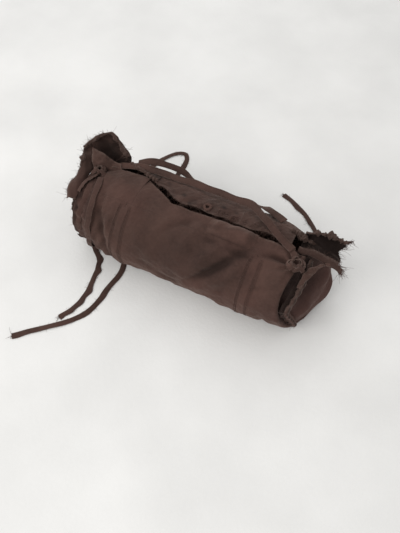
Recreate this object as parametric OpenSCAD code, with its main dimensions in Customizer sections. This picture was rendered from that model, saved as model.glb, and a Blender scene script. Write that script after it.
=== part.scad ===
// Soft rope storage bag: a cloth barrel with a slit mouth along its top, gathered ends,
// two strap handles and narrow torn-strip ties.
// X runs along the bag from its tied left end to its right end, Y runs from front to back,
// and Z is up. The origin is on the floor under the middle of the bag.
// Angles around the bag start at the back (+Y) and rise over the top: 0 back, 90 top,
// 180 front, 270 underside.

/* [Bag] */
// Length of the bag from its middle to the left end panel
left_len = 192; // [176:2:240]
// Length of the bag from its middle to the right end panel
right_len = 168; // [140:2:210]
// Width of the bag across its middle
bag_w = 156; // [128:2:190]
// Height of the bag at its middle
bag_h = 125; // [104:1:152]
// Thickness of the sewn cloth wall
cloth = 1.5; // [1:0.1:2.2]
// How far the underside settles flat on the floor
sag = 7; // [4:0.5:10]
// Half length of the middle stretch that keeps its full size
straight = 96; // [84:2:104]
// Size of the gathered left end, as a share of the middle
left_gather = 0.78; // [0.7:0.02:0.9]
// Size of the right end, as a share of the middle
right_gather = 0.92; // [0.8:0.02:0.96]
// How far the back of the right end slumps in towards the middle
right_slump = 20; // [0:1:26]
// How much further the back of the right end reaches than its middle
right_slant = 17; // [6:1:22]
// How much further the foot of the right end reaches than its middle
right_tilt = 16; // [0:1:20]
// How far each end panel bulges
bulge = 22; // [10:1:28]

/* [Mouth] */
// Distance from the middle of the bag to the left end of both lips
lip_left = 100; // [90:2:110]
// Distance from the middle of the bag to the right end of the front lip
lip_right = 84; // [74:2:94]
// Distance from the middle of the bag to the right end of the back lip
back_lip_right = 50; // [40:2:54]
// Distance from the right end panel to the fixed flap that closes the mouth behind the slit
flap_inset = 40; // [34:2:60]
// Angle of the front lip's fold line
front_fold = 110; // [104:1:118]
// Angle of the back lip's fold line
back_fold = 62; // [58:1:64]
// Angle of the slit between the lips
slit_angle = 88; // [84:1:94]
// How far the slit's left end drifts towards the back
slit_drift = 20; // [10:1:21]
// Width of the slit between the lips
slit = 5.5; // [5:0.5:8]
// Thickness of the puffed hem on the front lip
hem_t = 3; // [2:0.5:5]

/* [Bands] */
// Width of each reinforcing band
band_w = 22; // [16:1:28]
// Distance from the middle of the bag to the middle of the left bands
left_band_at = 108; // [104:1:124]
// Distance from the middle of the bag to the middle of the right bands
right_band_at = 94; // [86:1:110]

/* [Handles] */
// Width of the handle strap
strap_w = 11; // [8:0.5:14]
// Thickness of the handle strap
strap_t = 2; // [1.2:0.1:2.6]

/* [Ties] */
// Width of the tie strips
tie_w = 9; // [6:0.5:11]
// Thickness of the tie strips
tie_t = 1.4; // [1:0.1:2]
// Distance from the left end panel to the tie that gathers it
tie_inset = 14; // [8:1:20]

/* [Hidden] */
// Clearance between pieces that lie against each other
gap = 0.4;
// Clearance between pieces that move past each other
free_gap = 0.8;
// Angle step of the cloth surfaces, and their step along the bag
turn_step = 9.5;
len_step = 24;
// Angle on the underside where the front and back panels meet
base_line = 262;
// How far from the middle of the underside the bands stop
band_stop = 40;
// Top edge of the back panel at the left end, under the hood
hood_low = 44;
// Top edges of the left and right shoulders
left_shoulder_top = 68;
right_shoulder_top = 91;
// Distance from the middle of the bag to where the slit starts to drift
drift_from = 50;
// Closure loop: ring radius and cord radius
ring_r = 6;
ring_wire = 1.5;
// Width of the raw seam allowances that stand on the end panels
seam_w = 8;
// Knots: half length, and the place of each on the bag
knot_size = 10;
left_knot_angle = 80;
right_knot_inset = 23;
right_knot_angle = 108;

middle_z = (bag_h - sag) / 2;
half_h = (bag_h + sag) / 2;
half_w = bag_w / 2;
tie_x = -left_len + tie_inset;
right_knot_x = right_len - right_knot_inset;
// What a length along the wall spans as an angle at the top
function arc(length) = length / half_w * 180 / PI;
function half_slit() = arc(slit / 2);
function slit_at(x) = slit_angle - slit_drift * max(0, -drift_from - x) / (lip_left - drift_from);

// ---- Helpers -------------------------------------------------------------------------

function mix(a, b, u) = a + (b - a) * u;
function unit(v) = v / norm(v);
function steps(from, to, step) =
    let (n = max(1, ceil(abs(to - from) / step))) [for (i = [0:n]) mix(from, to, i / n)];

// A smooth curve through hand-placed points (Catmull-Rom), n stretches to each span.
function spline_at(p, i, u) =
    let (
        last = len(p) - 1,
        a = p[max(i - 1, 0)], b = p[i], c = p[min(i + 1, last)], d = p[min(i + 2, last)]
    )
    0.5 * (2 * b + (c - a) * u + (2 * a - 5 * b + 4 * c - d) * u * u
        + (3 * b - a - 3 * c + d) * u * u * u);
function spline(p, n = 2) = concat(
    [for (i = [0:len(p) - 2]) for (k = [0:n - 1]) spline_at(p, i, k / n)], [p[len(p) - 1]]
);

// A closed solid between two grids of points. wrap joins each row's last point to its first.
module slab(outer, inner, wrap = false) {
    rows = len(outer);
    cols = len(outer[0]);
    spans = wrap ? cols : cols - 1;
    count = rows * cols;
    function o(i, j) = i * cols + j % cols;
    function n(i, j) = count + o(i, j);
    function quad(a, b, c, d) = [[a, b, c], [a, c, d]];
    faces = concat(
        [for (i = [0:rows - 2]) for (j = [0:spans - 1])
            each quad(o(i, j), o(i + 1, j), o(i + 1, j + 1), o(i, j + 1))],
        [for (i = [0:rows - 2]) for (j = [0:spans - 1])
            each quad(n(i, j), n(i, j + 1), n(i + 1, j + 1), n(i + 1, j))],
        [for (j = [0:spans - 1]) each quad(o(0, j), o(0, j + 1), n(0, j + 1), n(0, j))],
        [for (j = [0:spans - 1])
            each quad(o(rows - 1, j + 1), o(rows - 1, j), n(rows - 1, j), n(rows - 1, j + 1))],
        wrap ? [] : [for (i = [0:rows - 2])
            each quad(o(i + 1, 0), o(i, 0), n(i, 0), n(i + 1, 0))],
        wrap ? [] : [for (i = [0:rows - 2])
            each quad(o(i, cols - 1), o(i + 1, cols - 1), n(i + 1, cols - 1), n(i, cols - 1))]
    );
    polyhedron([for (r = concat(outer, inner)) each r], faces);
}

// ---- The bag's surface ---------------------------------------------------------------

// Share of full size at x: 1 along the straight stretch, easing to the gathered ends.
function size_at(x) =
    x < -straight ? 1 - (1 - left_gather) * pow((-straight - x) / (left_len - straight), 2)
    : x > straight ? 1 - (1 - right_gather) * pow((x - straight) / (right_len - straight), 2)
    : 1;

// How far the back half is drawn in at x.
function slump_at(x) = right_slump * pow(max(0, x - straight / 2) / (right_len - straight / 2), 2);

// Height of the underside, which lifts enough at the left end for the tie to pass below.
function under(x) = (tie_t + 2 * gap) * max(0, min(1, (x + straight) / (tie_x + straight)));

// The point of the bag at x and angle a, off outwards from the wall's outer face. The
// underside is cut off flat by the floor.
function wall(x, a, off = 0) =
    let (s = size_at(x), drawn = cos(a) > 0 ? slump_at(x) : 0)
    [x, (half_w * s - drawn + off) * cos(a),
        max(middle_z + (half_h * s + off) * sin(a), under(x) - off)];

function right_end_x(a) = right_len + right_slant * cos(a) - right_tilt * sin(a);

// A row of wall points at x, from angle a0 to a1.
function wall_row(x, a0, a1, count, off) = [for (j = [0:count]) wall(x, mix(a0, a1, j / count), off)];

// A piece of cloth on the wall between two outlines, each given as [x, from, to].
module cloth_on_wall(outline, low = -cloth, high = 0) {
    count = ceil(max([for (o = outline) abs(o[2] - o[1])]) / turn_step);
    function rows(off) = [for (o = outline) wall_row(o[0], o[1], o[2], count, off)];
    slab(rows(high), rows(low));
}

// A piece of cloth whose right edge follows the slanted right end.
function end_rows(from, a0, a1, off) =
    let (n = ceil((a1 - a0) / turn_step), m = ceil((right_len - from) / len_step))
    [for (i = [0:m]) [for (j = [0:n])
        let (a = mix(a0, a1, j / n)) wall(mix(from, right_end_x(a), i / m), a, off)]];

// The same from the left end. Its edges move from their left angles to their own angles.
function left_rows(to, left, right, off) =
    let (n = ceil((right[1] - right[0]) / turn_step))
    [for (x = steps(-left_len, to, len_step))
        let (u = max(0, min(1, (-x - lip_left) / (left_len - lip_left))))
        wall_row(x, mix(right[0], left[0], u), mix(right[1], left[1], u), n, off)];

// The body's cloth is pieced from three lengths that meet under the bands.
left_join = -left_band_at;
right_join = right_band_at;
module left_panel(left, right) {
    slab(left_rows(left_join - gap / 2, left, right, 0),
        left_rows(left_join - gap / 2, left, right, -cloth));
}
module middle_panel(left, right) {
    u = max(0, (left_band_at - lip_left) / (left_len - lip_left));
    cloth_on_wall([
        [left_join + gap / 2, mix(right[0], left[0], u), mix(right[1], left[1], u)],
        for (x = steps(-lip_left, right_join - gap / 2, len_step)) [x, right[0], right[1]]
    ]);
}
module right_panel(edges) {
    slab(end_rows(right_join + gap / 2, edges[0], edges[1], 0),
        end_rows(right_join + gap / 2, edges[0], edges[1], -cloth));
}

// ---- End panels ----------------------------------------------------------------------

// Side -1 is the left end and 1 the right end; r is 1 at the rim and 0 at the middle.
function end_x(side, a) = side < 0 ? -left_len : right_end_x(a);
function end_point(side, r, a, off = 0) =
    let (
        rim = wall(end_x(side, a), a, -cloth - gap),
        hub = [side < 0 ? -left_len : right_len, 0, middle_z]
    )
    mix(hub, rim, r) + [side * (bulge * (1 - r * r) + off), 0, 0];

// A bulging panel that closes one end: a dome of rings that meet at its middle.
module end_panel(side) {
    rings = [1, 0.8, 0.55, 0.3];
    turns = [0:10:350];
    cols = len([for (a = turns) a]);
    count = len(rings) * cols;
    last = len(rings) - 1;
    hub_out = 2 * count;
    hub_in = hub_out + 1;
    function dome(off) = [for (r = rings) for (a = turns) end_point(side, r, a, side * off)];
    function o(i, j) = i * cols + j % cols;
    function n(i, j) = count + o(i, j);
    points = concat(dome(0), dome(-cloth * side),
        [end_point(side, 0, 0, 0), end_point(side, 0, 0, -cloth)]);
    faces = concat(
        [for (i = [0:last - 1]) for (j = [0:cols - 1]) each
            [[o(i, j), o(i + 1, j + 1), o(i + 1, j)], [o(i, j), o(i, j + 1), o(i + 1, j + 1)],
             [n(i, j), n(i + 1, j), n(i + 1, j + 1)], [n(i, j), n(i + 1, j + 1), n(i, j + 1)]]],
        [for (j = [0:cols - 1]) each
            [[o(last, j), o(last, j + 1), hub_out], [n(last, j + 1), n(last, j), hub_in],
             [o(0, j + 1), o(0, j), n(0, j)], [o(0, j + 1), n(0, j), n(0, j + 1)]]]
    );
    polyhedron(points, side < 0 ? faces : [for (f = faces) [f[0], f[2], f[1]]]);
}

// A strip of raw seam allowance that stands on an end panel along a path of [r, angle].
module end_seam(side, path) {
    line = spline(path, 3);
    half = seam_w / 2 / half_w;
    function edge(shift, off) = [for (p = line) end_point(side, p[0] + shift, p[1], off)];
    function rows(off) = [edge(-half, off), edge(half, off)];
    low = rows(2 * gap);
    high = rows(2 * gap + cloth);
    if (side < 0) slab(high, low);
    else slab(low, high);
}

// ---- Straps and ties -----------------------------------------------------------------

// A flat strip along a route, with a flattened eight-sided section. flat(p) is the
// direction that its face looks in.
module strip(route, width, thick, on_floor = false) {
    last = len(route) - 1;
    shares = [-1, -0.7, 0.7, 1];
    body = [0.3, 1, 1, 0.3];
    function face(p) = on_floor ? [0, 0, 1] : unit([0, p.y, p.z - middle_z]);
    function across(i) =
        unit(cross(face(route[i]), unit(route[min(i + 1, last)] - route[max(i - 1, 0)])));
    function rows(side) =
        [for (i = [0:last]) [for (k = [0:3])
            route[i] + across(i) * shares[k] * width / 2
                + face(route[i]) * side * body[k] * thick / 2]];
    slab(rows(-1), rows(1));
}

// A knot of rolled cloth: two crossed loops round a core.
module knot(size) {
    for (turn = [20, 110])
        rotate([0, 0, turn]) scale([1, 0.62, 0.5]) sphere(size, $fn = 24);
}

// ---- Pieces --------------------------------------------------------------------------

front_edges = [front_fold, base_line];
back_edges = [base_line, 360 + back_fold];
back_edges_left = [base_line, 360 + hood_low];
module front_left_panel() { color("#4c3c37") left_panel(front_edges, front_edges); }
module front_middle_panel() { color("#4a3a36") middle_panel(front_edges, front_edges); }
module front_right_panel() { color("#4e3e39") right_panel(front_edges); }
module back_left_panel() { color("#483834") left_panel(back_edges_left, back_edges); }
module back_middle_panel() { color("#463632") middle_panel(back_edges_left, back_edges); }
module back_right_panel() { color("#4a3a36") right_panel(back_edges); }
module left_shoulder() {
    color("#4d3d38") cloth_on_wall([
        for (x = steps(-left_len, -lip_left - free_gap, len_step))
            [x, left_shoulder_top, front_fold - arc(gap)]
    ]);
}
module right_shoulder() {
    function rows(off) =
        end_rows(lip_right + free_gap, right_shoulder_top, front_fold - arc(gap), off);
    color("#4d3d38") slab(rows(0), rows(-cloth));
}
// The flap is sewn down behind the slit, from the back lip to the open end of the mouth.
module right_flap() {
    color("#483935") cloth_on_wall([
        for (x = steps(back_lip_right + free_gap, right_len - flap_inset, len_step))
            [x, back_fold + arc(gap), slit_angle - half_slit()]
    ]);
}
module left_end_panel() { color("#4f403b") end_panel(-1); }
module right_end_panel() { color("#54443f") end_panel(1); }

// Bands are sewn to the outside of the panels and stop just above the floor.
module band(x, a0, a1) {
    color("#524039")
        cloth_on_wall([for (k = [-1:1]) [x + k * band_w / 2, a0, a1]], gap, gap + cloth);
}
module front_left_band() { band(-left_band_at, front_fold + 2, 270 - band_stop); }
module front_right_band() { band(right_band_at, front_fold + 2, 270 - band_stop); }
module back_left_band() { band(-left_band_at, 270 + band_stop, 360 + back_fold - 12); }
module back_right_band() { band(right_band_at, 270 + band_stop, 360 + back_fold - 12); }

module left_side_seam() { color("#3a2c29") end_seam(-1, [[0.9, 112], [0.82, 135], [0.72, 160]]); }
module left_corner_seam() { color("#3a2c29") end_seam(-1, [[0.74, 172], [0.82, 195], [0.9, 215]]); }
module right_side_seam() {
    color("#3a2c29") end_seam(1, [[0.92, 88], [0.9, 110], [0.9, 133], [0.93, 158]]);
}
module right_corner_seam() { color("#3a2c29") end_seam(1, [[0.93, 170], [0.9, 190], [0.9, 214]]); }

// The tie that gathers the left end goes all the way round, apart from the knot's place.
left_knot_span = arc(knot_size / left_gather) + 1.5;
module left_tie_wrap() {
    color("#5a4a44") cloth_on_wall(
        [for (k = [-1, 1])
            [tie_x + k * tie_w / 2, left_knot_angle + left_knot_span,
                left_knot_angle + 360 - left_knot_span]],
        gap, gap + tie_t
    );
}
// Its second strand slants down the front, beside the wrap.
module left_tie_strand() {
    function rows(off) = [for (k = [0, 1]) [for (i = [0:10])
        let (x = tie_x + tie_w / 2 + 2 * free_gap + 14 * sin(18 * i))
        wall(x + k * tie_w, mix(left_knot_angle + left_knot_span, 226, i / 10), off)]];
    color("#5a4a44") slab(rows(2 * gap + tie_t), rows(2 * gap));
}
// Knots lie on the wall, clear of it by half their height.
module left_tie_knot() {
    color("#5a4a44")
        translate(wall(tie_x, left_knot_angle, knot_size / 2 + free_gap)) knot(knot_size);
}
module right_tie_knot() {
    color("#5a4a44")
        translate(wall(right_knot_x, right_knot_angle, knot_size / 2 + free_gap)) knot(knot_size);
}

// The two lips meet at the slit and open outwards about their fold lines.
module back_lip() {
    color("#463833") cloth_on_wall([
        for (x = steps(-lip_left, back_lip_right, len_step))
            [x, back_fold + arc(gap), slit_at(x) - half_slit()]
    ]);
}
module front_lip() {
    color("#4f3f3a") cloth_on_wall([
        for (x = steps(-lip_left, lip_right, len_step))
            [x, slit_at(x) + half_slit(), front_fold - arc(gap)]
    ]);
}
// The puffed hem is folded back along the front lip's edge, clear of the closure loop.
module front_hem() {
    color("#5b4a44") cloth_on_wall(
        [for (x = steps(ring_r + 2, lip_right - 2, len_step))
            [x, slit_angle + half_slit() + 1, front_fold - arc(gap) - 4]],
        gap, gap + hem_t
    );
}
// A ring of torn cloth that lies on the back lip beside the slit.
module closure_loop() {
    place = wall(0, slit_angle - half_slit() - arc(ring_r + 1), ring_wire + free_gap + gap);
    color("#6a5850") translate(place) rotate_extrude($fn = 36)
        translate([ring_r - ring_wire, 0]) circle(ring_wire, $fn = 16);
}

// The hood stands up at the left end where the back of the mouth rises. Its foot runs
// straight along the back panel's edge, and its rim is the raw edge of the cloth.
hood_right = 146;
module left_hood() {
    share = (hood_right - lip_left) / (left_len - lip_left);
    lift = [0, 0, gap + tie_t + cloth + free_gap];
    left = wall(-left_len + 2, hood_low) + lift;
    right = wall(-hood_right, mix(back_fold, hood_low, share)) + lift;
    rise = [[-29, 8, 25], [-15, 18, 40], [-6, 22, 46], [0, 20, 32], [0, 10, 13]];
    rim = spline([for (i = [0:4]) mix(left, right, i / 4) + rise[i]], 3);
    foot = [for (i = [0:len(rim) - 1]) mix(left, right, i / (len(rim) - 1))];
    function rows(off) = [for (u = [0, 0.33, 0.67, 1])
        [for (i = [0:len(foot) - 1]) mix(foot[i], rim[i], u) + [0, 6 * u * (1 - u) + off, 0]]];
    color("#43342f") slab(rows(0), rows(cloth));
}

// The gusset is the loose raw corner round the left end, from the hood to the front.
module left_gusset() {
    turns = [62, 76, 92, 112, 132];
    flare = [[-22, 6, 18], [-16, 3, 14], [-12, 0, 8], [-30, 8, -5], [-20, -2, 2]];
    foot = spline([for (a = turns) wall(-left_len - free_gap, a, 0) + [0, 0, free_gap]], 3);
    rim = spline([for (i = [0:4]) wall(-left_len - free_gap, turns[i], 0) + flare[i]], 3);
    function rows(off) = [for (u = [0, 0.5, 1])
        [for (i = [0:len(foot) - 1]) mix(foot[i], rim[i], u) + [0, 0, 6 * u * (1 - u) + off]]];
    color("#4a3b36") slab(rows(0), rows(cloth));
}

// The cuff is the mouth's right end: a flattened open funnel with a raw rim.
module right_cuff() {
    top = wall(right_len - right_tilt, 90).z;
    middle = wall(right_len - right_tilt, 70).y;
    small = [right_len - 16, 17, 5.5];
    large = [right_len + 38, 25, 15];
    function ring(u, inset) =
        let (size = mix(small, large, u), z = mix(top + 7, top - 9, u))
        [for (a = [0:20:340])
            [size[0], middle + (size[1] - inset) * cos(a), z + (size[2] - inset) * sin(a)]];
    function rows(inset) = [for (u = [0:0.25:1]) ring(u, inset)];
    color("#3d2f2b") slab(rows(0), rows(cloth), wrap = true);
}

// The handles follow the wall from end to end. Each point is [share of the way along,
// angle round the bag, height of the strap's middle above the wall].
front_handle_ends = [tie_x + 12, right_knot_x - 12];
front_handle_line = [
    [0, 66, 4], [0.09, 60, 5.5], [0.2, 58, 6.5], [0.35, 56, 7.5], [0.52, 55, 8], [0.65, 56, 8.5],
    [0.755, 61, 9.5], [0.83, 72, 8.5], [0.9, 81, 6], [0.96, 88, 3], [1, 92, 2.2],
];
back_handle_ends = [-left_len + 54, right_len - 64];
back_handle_line = [
    [0, 45, 6], [0.07, 47, 12], [0.16, 44, 15], [0.25, 35, 14], [0.36, 18, 10], [0.53, 4, 12],
    [0.69, 5, 10], [0.81, 24, 6], [0.88, 41, 6], [0.95, 49, 5], [1, 55, 4],
];
module handle(ends, line) {
    route = [for (p = line) wall(mix(ends[0], ends[1], p[0]), p[1], p[2] - 1 + strap_t / 2)];
    strip(spline(route), strap_w, strap_t);
}
module front_handle() { color("#57463f") handle(front_handle_ends, front_handle_line); }
module back_handle() { color("#4b3b36") handle(back_handle_ends, back_handle_line); }

// Tails of the ties lie on the floor. Each is a shape of steps from the tail's root, as
// [along, out from the root, share of the root's height].
floor_z = 1;
function floor_half_width(x) = half_w * size_at(x) * cos(asin(min(1, middle_z / (half_h * size_at(x)))));
function from_root(root, shape) =
    [for (p = shape) [root.x + p.x, root.y + p.y, max(floor_z, root.z * p.z)]];
function flat(shape) = [for (p = shape) [p.x, p.y, 0]];

left_short_tail_root = wall(tie_x + tie_w, 226, 7);
left_short_tail_shape = concat([[0, 0, 1], [5, -5, 0.45]], flat([
    [12, -10], [20, -19], [25, -33], [29, -51], [32, -68], [33, -85], [31, -101], [26, -116],
    [18, -130],
]));
left_long_tail_root = [-left_band_at - 11, -floor_half_width(left_band_at) - 11, floor_z];
left_long_tail_shape = flat([
    [0, 0], [6, -10], [10, -22], [11, -36], [9, -52], [7, -68], [7, -84], [5, -100], [-1, -116],
    [-11, -131], [-24, -144], [-39, -158], [-58, -175], [-77, -193],
]);
right_tail_root = wall(right_len + 4, 10, 9);
right_tail_shape = concat(
    [[0, 0, 1], [5, 7, 0.8], [7, 15, 0.54], [6, 24, 0.29], [1, 35, 0.1]],
    flat([[-8, 48], [-20, 64], [-33, 80], [-48, 95], [-65, 108], [-85, 119], [-106, 129]])
);
back_tail_root = wall(-left_len + 40, 22, 8);
back_tail_shape = concat(
    [[0, 0, 1], [-5, 7, 0.76], [-10, 15, 0.5], [-15, 25, 0.24], [-19, 37, 0.08]],
    flat([[-21, 53], [-19, 71], [-13, 90], [-3, 108], [9, 120], [21, 123], [29, 113], [31, 95],
        [31, 75], [33, 55], [36, 37]])
);
module tail(root, shape) {
    line = [for (p = spline(from_root(root, shape))) [p.x, p.y, max(p.z, floor_z)]];
    strip(line, tie_w, tie_t, true);
}
module left_short_tail() { color("#54443e") tail(left_short_tail_root, left_short_tail_shape); }
module left_long_tail() { color("#54443e") tail(left_long_tail_root, left_long_tail_shape); }
module right_tail() { color("#3f312d") tail(right_tail_root, right_tail_shape); }
module back_tail() { color("#4a3b36") tail(back_tail_root, back_tail_shape); }

front_left_panel();
front_middle_panel();
front_right_panel();
back_left_panel();
back_middle_panel();
back_right_panel();
left_shoulder();
right_shoulder();
right_flap();
left_end_panel();
right_end_panel();
front_left_band();
front_right_band();
back_left_band();
back_right_band();
left_side_seam();
left_corner_seam();
right_side_seam();
right_corner_seam();
left_tie_wrap();
left_tie_strand();
left_tie_knot();
right_tie_knot();
back_lip();
closure_loop();
front_lip();
front_hem();
left_hood();
left_gusset();
right_cuff();
front_handle();
back_handle();
left_short_tail();
left_long_tail();
right_tail();
back_tail();
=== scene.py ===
"""Looks of the soft cloth rope bag: sewn cotton panels, raw frayed edges, straps and torn ties.

Every surface is a grid of points worked out as whole arrays. Lengths are metres, angles round
the bag are degrees: 0 at the back, 90 on top, 180 at the front and 270 underneath.
"""

import bpy
import numpy as np
from bpy.props import FloatProperty, FloatVectorProperty, IntProperty, PointerProperty
from mathutils import Matrix, Vector


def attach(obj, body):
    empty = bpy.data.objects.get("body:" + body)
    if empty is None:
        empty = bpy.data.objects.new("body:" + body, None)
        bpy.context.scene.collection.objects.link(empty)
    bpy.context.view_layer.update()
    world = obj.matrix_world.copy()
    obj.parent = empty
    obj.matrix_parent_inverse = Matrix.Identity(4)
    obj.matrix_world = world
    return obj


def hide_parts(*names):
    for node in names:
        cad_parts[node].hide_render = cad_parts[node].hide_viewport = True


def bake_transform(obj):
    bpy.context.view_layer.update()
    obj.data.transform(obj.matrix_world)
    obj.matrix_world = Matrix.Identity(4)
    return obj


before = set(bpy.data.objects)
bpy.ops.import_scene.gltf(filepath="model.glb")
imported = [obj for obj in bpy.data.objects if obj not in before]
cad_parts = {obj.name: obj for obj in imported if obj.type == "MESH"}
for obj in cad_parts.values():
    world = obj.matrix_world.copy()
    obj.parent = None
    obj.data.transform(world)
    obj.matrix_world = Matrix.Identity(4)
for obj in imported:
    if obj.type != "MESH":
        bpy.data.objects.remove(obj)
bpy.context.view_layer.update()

bl_info = {
    "name": "Cloth rope bag",
    "version": (1, 0, 0),
    "blender": (4, 5, 0),
    "location": "3D View > Sidebar > Rope Bag",
    "description": "Builds the sewn cloth of a soft rope storage bag round its packed frame",
    "category": "Object",
}

# ---- The bag's own sizes, the same as in the part's source, in metres ------------------

MM = 0.001
LEFT_LEN, RIGHT_LEN = 0.192, 0.168
HALF_W, HALF_H, MIDDLE_Z = 0.078, 0.066, 0.059
STRAIGHT, LEFT_GATHER, RIGHT_GATHER = 0.096, 0.78, 0.92
RIGHT_SLUMP, RIGHT_SLANT, RIGHT_TILT = 0.020, 0.017, 0.016
GAP, CLOTH = 0.0004, 0.0015
LIP_LEFT, LIP_RIGHT, BACK_LIP_RIGHT = 0.100, 0.084, 0.050
SLIT_ANGLE, SLIT_DRIFT, SLIT_WIDTH = 88, 20, 0.0055
FRONT_FOLD, BACK_FOLD, BASE_LINE, HOOD_LOW = 110.0, 62.0, 262.0, 44.0
BAND_LEFT, BAND_RIGHT, BAND_W = -0.108, 0.094, 0.022
TIE_X, TIE_W, TIE_T = -0.178, 0.009, 0.0014
STRIP_W = 0.0085
STRAP_W, STRAP_T = 0.011, 0.002
KNOT_X, KNOT_ANGLE = 0.145, 108.0
LEFT_KNOT_ANGLE, SHORT_TAIL_ANGLE = 80.0, 226.0
HOOD_RIGHT = -0.146
FLOOR_Z = 0.001
WORN_WIDTH = 0.004


def size_at(x):
    """Share of full size along the bag: 1 in the middle, a parabola down to each gathered end."""
    left = 1 - (1 - LEFT_GATHER) * ((-STRAIGHT - x) / (LEFT_LEN - STRAIGHT)) ** 2
    right = 1 - (1 - RIGHT_GATHER) * ((x - STRAIGHT) / (RIGHT_LEN - STRAIGHT)) ** 2
    return np.where(x < -STRAIGHT, left, np.where(x > STRAIGHT, right, 1.0))


def slump_at(x):
    """How far the back half is drawn in: a parabola that starts half way along the right side."""
    half = STRAIGHT / 2
    return RIGHT_SLUMP * (np.maximum(0, x - half) / (RIGHT_LEN - half)) ** 2


def under(x):
    """Height of the underside, which rises in a line to let the tie pass at the left end."""
    return (TIE_T + 2 * GAP) * np.clip((x + STRAIGHT) / (TIE_X + STRAIGHT), 0, 1)


def hump(distance, width):
    """A smooth hump of height 1 where distance is 0: e to the minus (distance / width) squared."""
    return np.exp(-((distance / width) ** 2))


def ease(value, low, high):
    """0 below low, 1 above high, and a smooth cubic step between them."""
    t = np.clip((value - low) / (high - low), 0, 1)
    return t * t * (3 - 2 * t)


def along_line(x, a, x0, a0, x1, a1):
    """Place of a point against a straight crease on the bag: share of the way along it, and the
    distance from it, both from the dot and cross product on the unrolled cloth."""
    per_degree = HALF_W * np.pi / 180
    dx, dq = x1 - x0, (a1 - a0) * per_degree
    px, pq = x - x0, (a - a0) * per_degree
    long = dx * dx + dq * dq
    return (px * dx + pq * dq) / long, (px * dq - pq * dx) / np.sqrt(long)


CREASES = [
    # x0, angle0, x1, angle1, depth, width, all in metres and degrees. Minus is a valley.
    (0.078, 107, 0.004, 176, -0.0042, 0.0070),
    (0.086, 118, 0.022, 182, 0.0030, 0.0085),
    (0.052, 112, -0.006, 158, 0.0026, 0.0080),
    (0.010, 99, 0.086, 107, -0.0030, 0.0045),
    (-0.012, 101, -0.046, 132, -0.0022, 0.0060),
    (0.004, 104, -0.010, 150, 0.0020, 0.0090),
    (0.100, 111, 0.140, 104, -0.0032, 0.0050),
    (0.112, 128, 0.150, 112, 0.0022, 0.0060),
    (0.106, 150, 0.149, 128, -0.0018, 0.0055),
    (-0.146, 112, -0.124, 176, -0.0030, 0.0055),
    (-0.158, 118, -0.140, 190, 0.0024, 0.0050),
    (-0.134, 118, -0.110, 170, 0.0018, 0.0060),
    (-0.128, 150, -0.118, 216, -0.0020, 0.0050),
    (-0.090, 120, -0.052, 176, 0.0014, 0.0110),
    (-0.066, 170, 0.010, 206, -0.0016, 0.0100),
    (0.030, 196, 0.088, 224, -0.0018, 0.0090),
    (0.120, 190, 0.140, 232, -0.0022, 0.0060),
    (-0.150, 200, -0.110, 236, -0.0022, 0.0060),
    # the back
    (-0.120, 330, -0.030, 395, -0.0034, 0.0100),
    (-0.060, 322, 0.030, 380, 0.0024, 0.0100),
    (0.000, 340, 0.080, 402, -0.0036, 0.0090),
    (0.060, 318, 0.130, 372, -0.0030, 0.0080),
    (0.110, 330, 0.160, 400, 0.0026, 0.0080),
    (-0.150, 345, -0.100, 400, -0.0028, 0.0080),
    (-0.100, 306, 0.010, 330, 0.0020, 0.0100),
]


def rumple(points, size, seed, waves=14):
    """Soft random relief, about -1 to 1: a sum of sine waves that run in random directions, with
    wavelengths from half the given size to twice it."""
    random = np.random.default_rng(seed)
    way = unit(random.normal(0, 1, (waves, 3)))
    length = size * 2.0 ** random.uniform(-1, 1, waves)
    phase = random.uniform(0, 2 * np.pi, waves)
    total = 0
    for k in range(waves):
        total = total + np.sin(points @ way[k] * (2 * np.pi / length[k]) + phase[k])
    return total / np.sqrt(waves / 2) / 1.6


def folds(x, a):
    """Relief of the cloth, outwards: a sum of straight creases that fade at both ends, pleats
    under the tie, beside the hood and round the right knot, random relief of three sizes, and
    the puffed roll along the front lip with the hollow under it."""
    total = np.zeros(np.broadcast(x, a).shape)
    for x0, a0, x1, a1, depth, width in CREASES:
        for turn in (0, 360):
            share, away = along_line(x, a + turn, x0, a0, x1, a1)
            bend = 0.004 * np.sin(3.1 * share + 40 * x0)
            total += 1.7 * depth * hump(away + bend, width) * hump(share - 0.45, 0.52)
    pleat = np.sin(np.radians(a) * 17 + 1.6 * np.sin(np.radians(a) * 5) + 0.8)
    total += 0.0012 * pleat * hump(x - TIE_X, 0.018)
    total -= 0.0034 * hump(x - TIE_X, 0.0085)
    spot = np.stack([x + 0 * a, HALF_W * np.cos(np.radians(a)) + 0 * x,
                     HALF_H * np.sin(np.radians(a)) + 0 * x], -1)
    total += 0.0014 * rumple(spot, 0.075, 2) + 0.0008 * rumple(spot, 0.030, 3)
    total += 0.00030 * rumple(spot, 0.012, 4)
    # the puffed roll and its hollow
    roll_x = ease(x, 0.008, 0.026) * (1 - ease(x, 0.076, 0.098))
    total += 0.0036 * roll_x * hump(a - 99 - 30 * np.maximum(0, x - 0.06), 7.5)
    total -= 0.0046 * roll_x * hump(a - 113.5 - 30 * x, 4.5)
    q = np.radians(a) * HALF_W
    upright = np.sin(x * 400 + 5 * np.sin(q * 26)) * hump(x + 0.138, 0.026) * ease(a, 112, 130)
    total += 0.0011 * upright * (1 - ease(a, 205, 240))
    knot_away = np.hypot(x - KNOT_X, (a - KNOT_ANGLE) * np.pi / 180 * HALF_W)
    turn = np.arctan2((a - KNOT_ANGLE) * np.pi / 180 * HALF_W, x - KNOT_X)
    total += 0.0018 * np.sin(turn * 9) * hump(knot_away - 0.016, 0.012)
    return total * group().fold_depth


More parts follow.
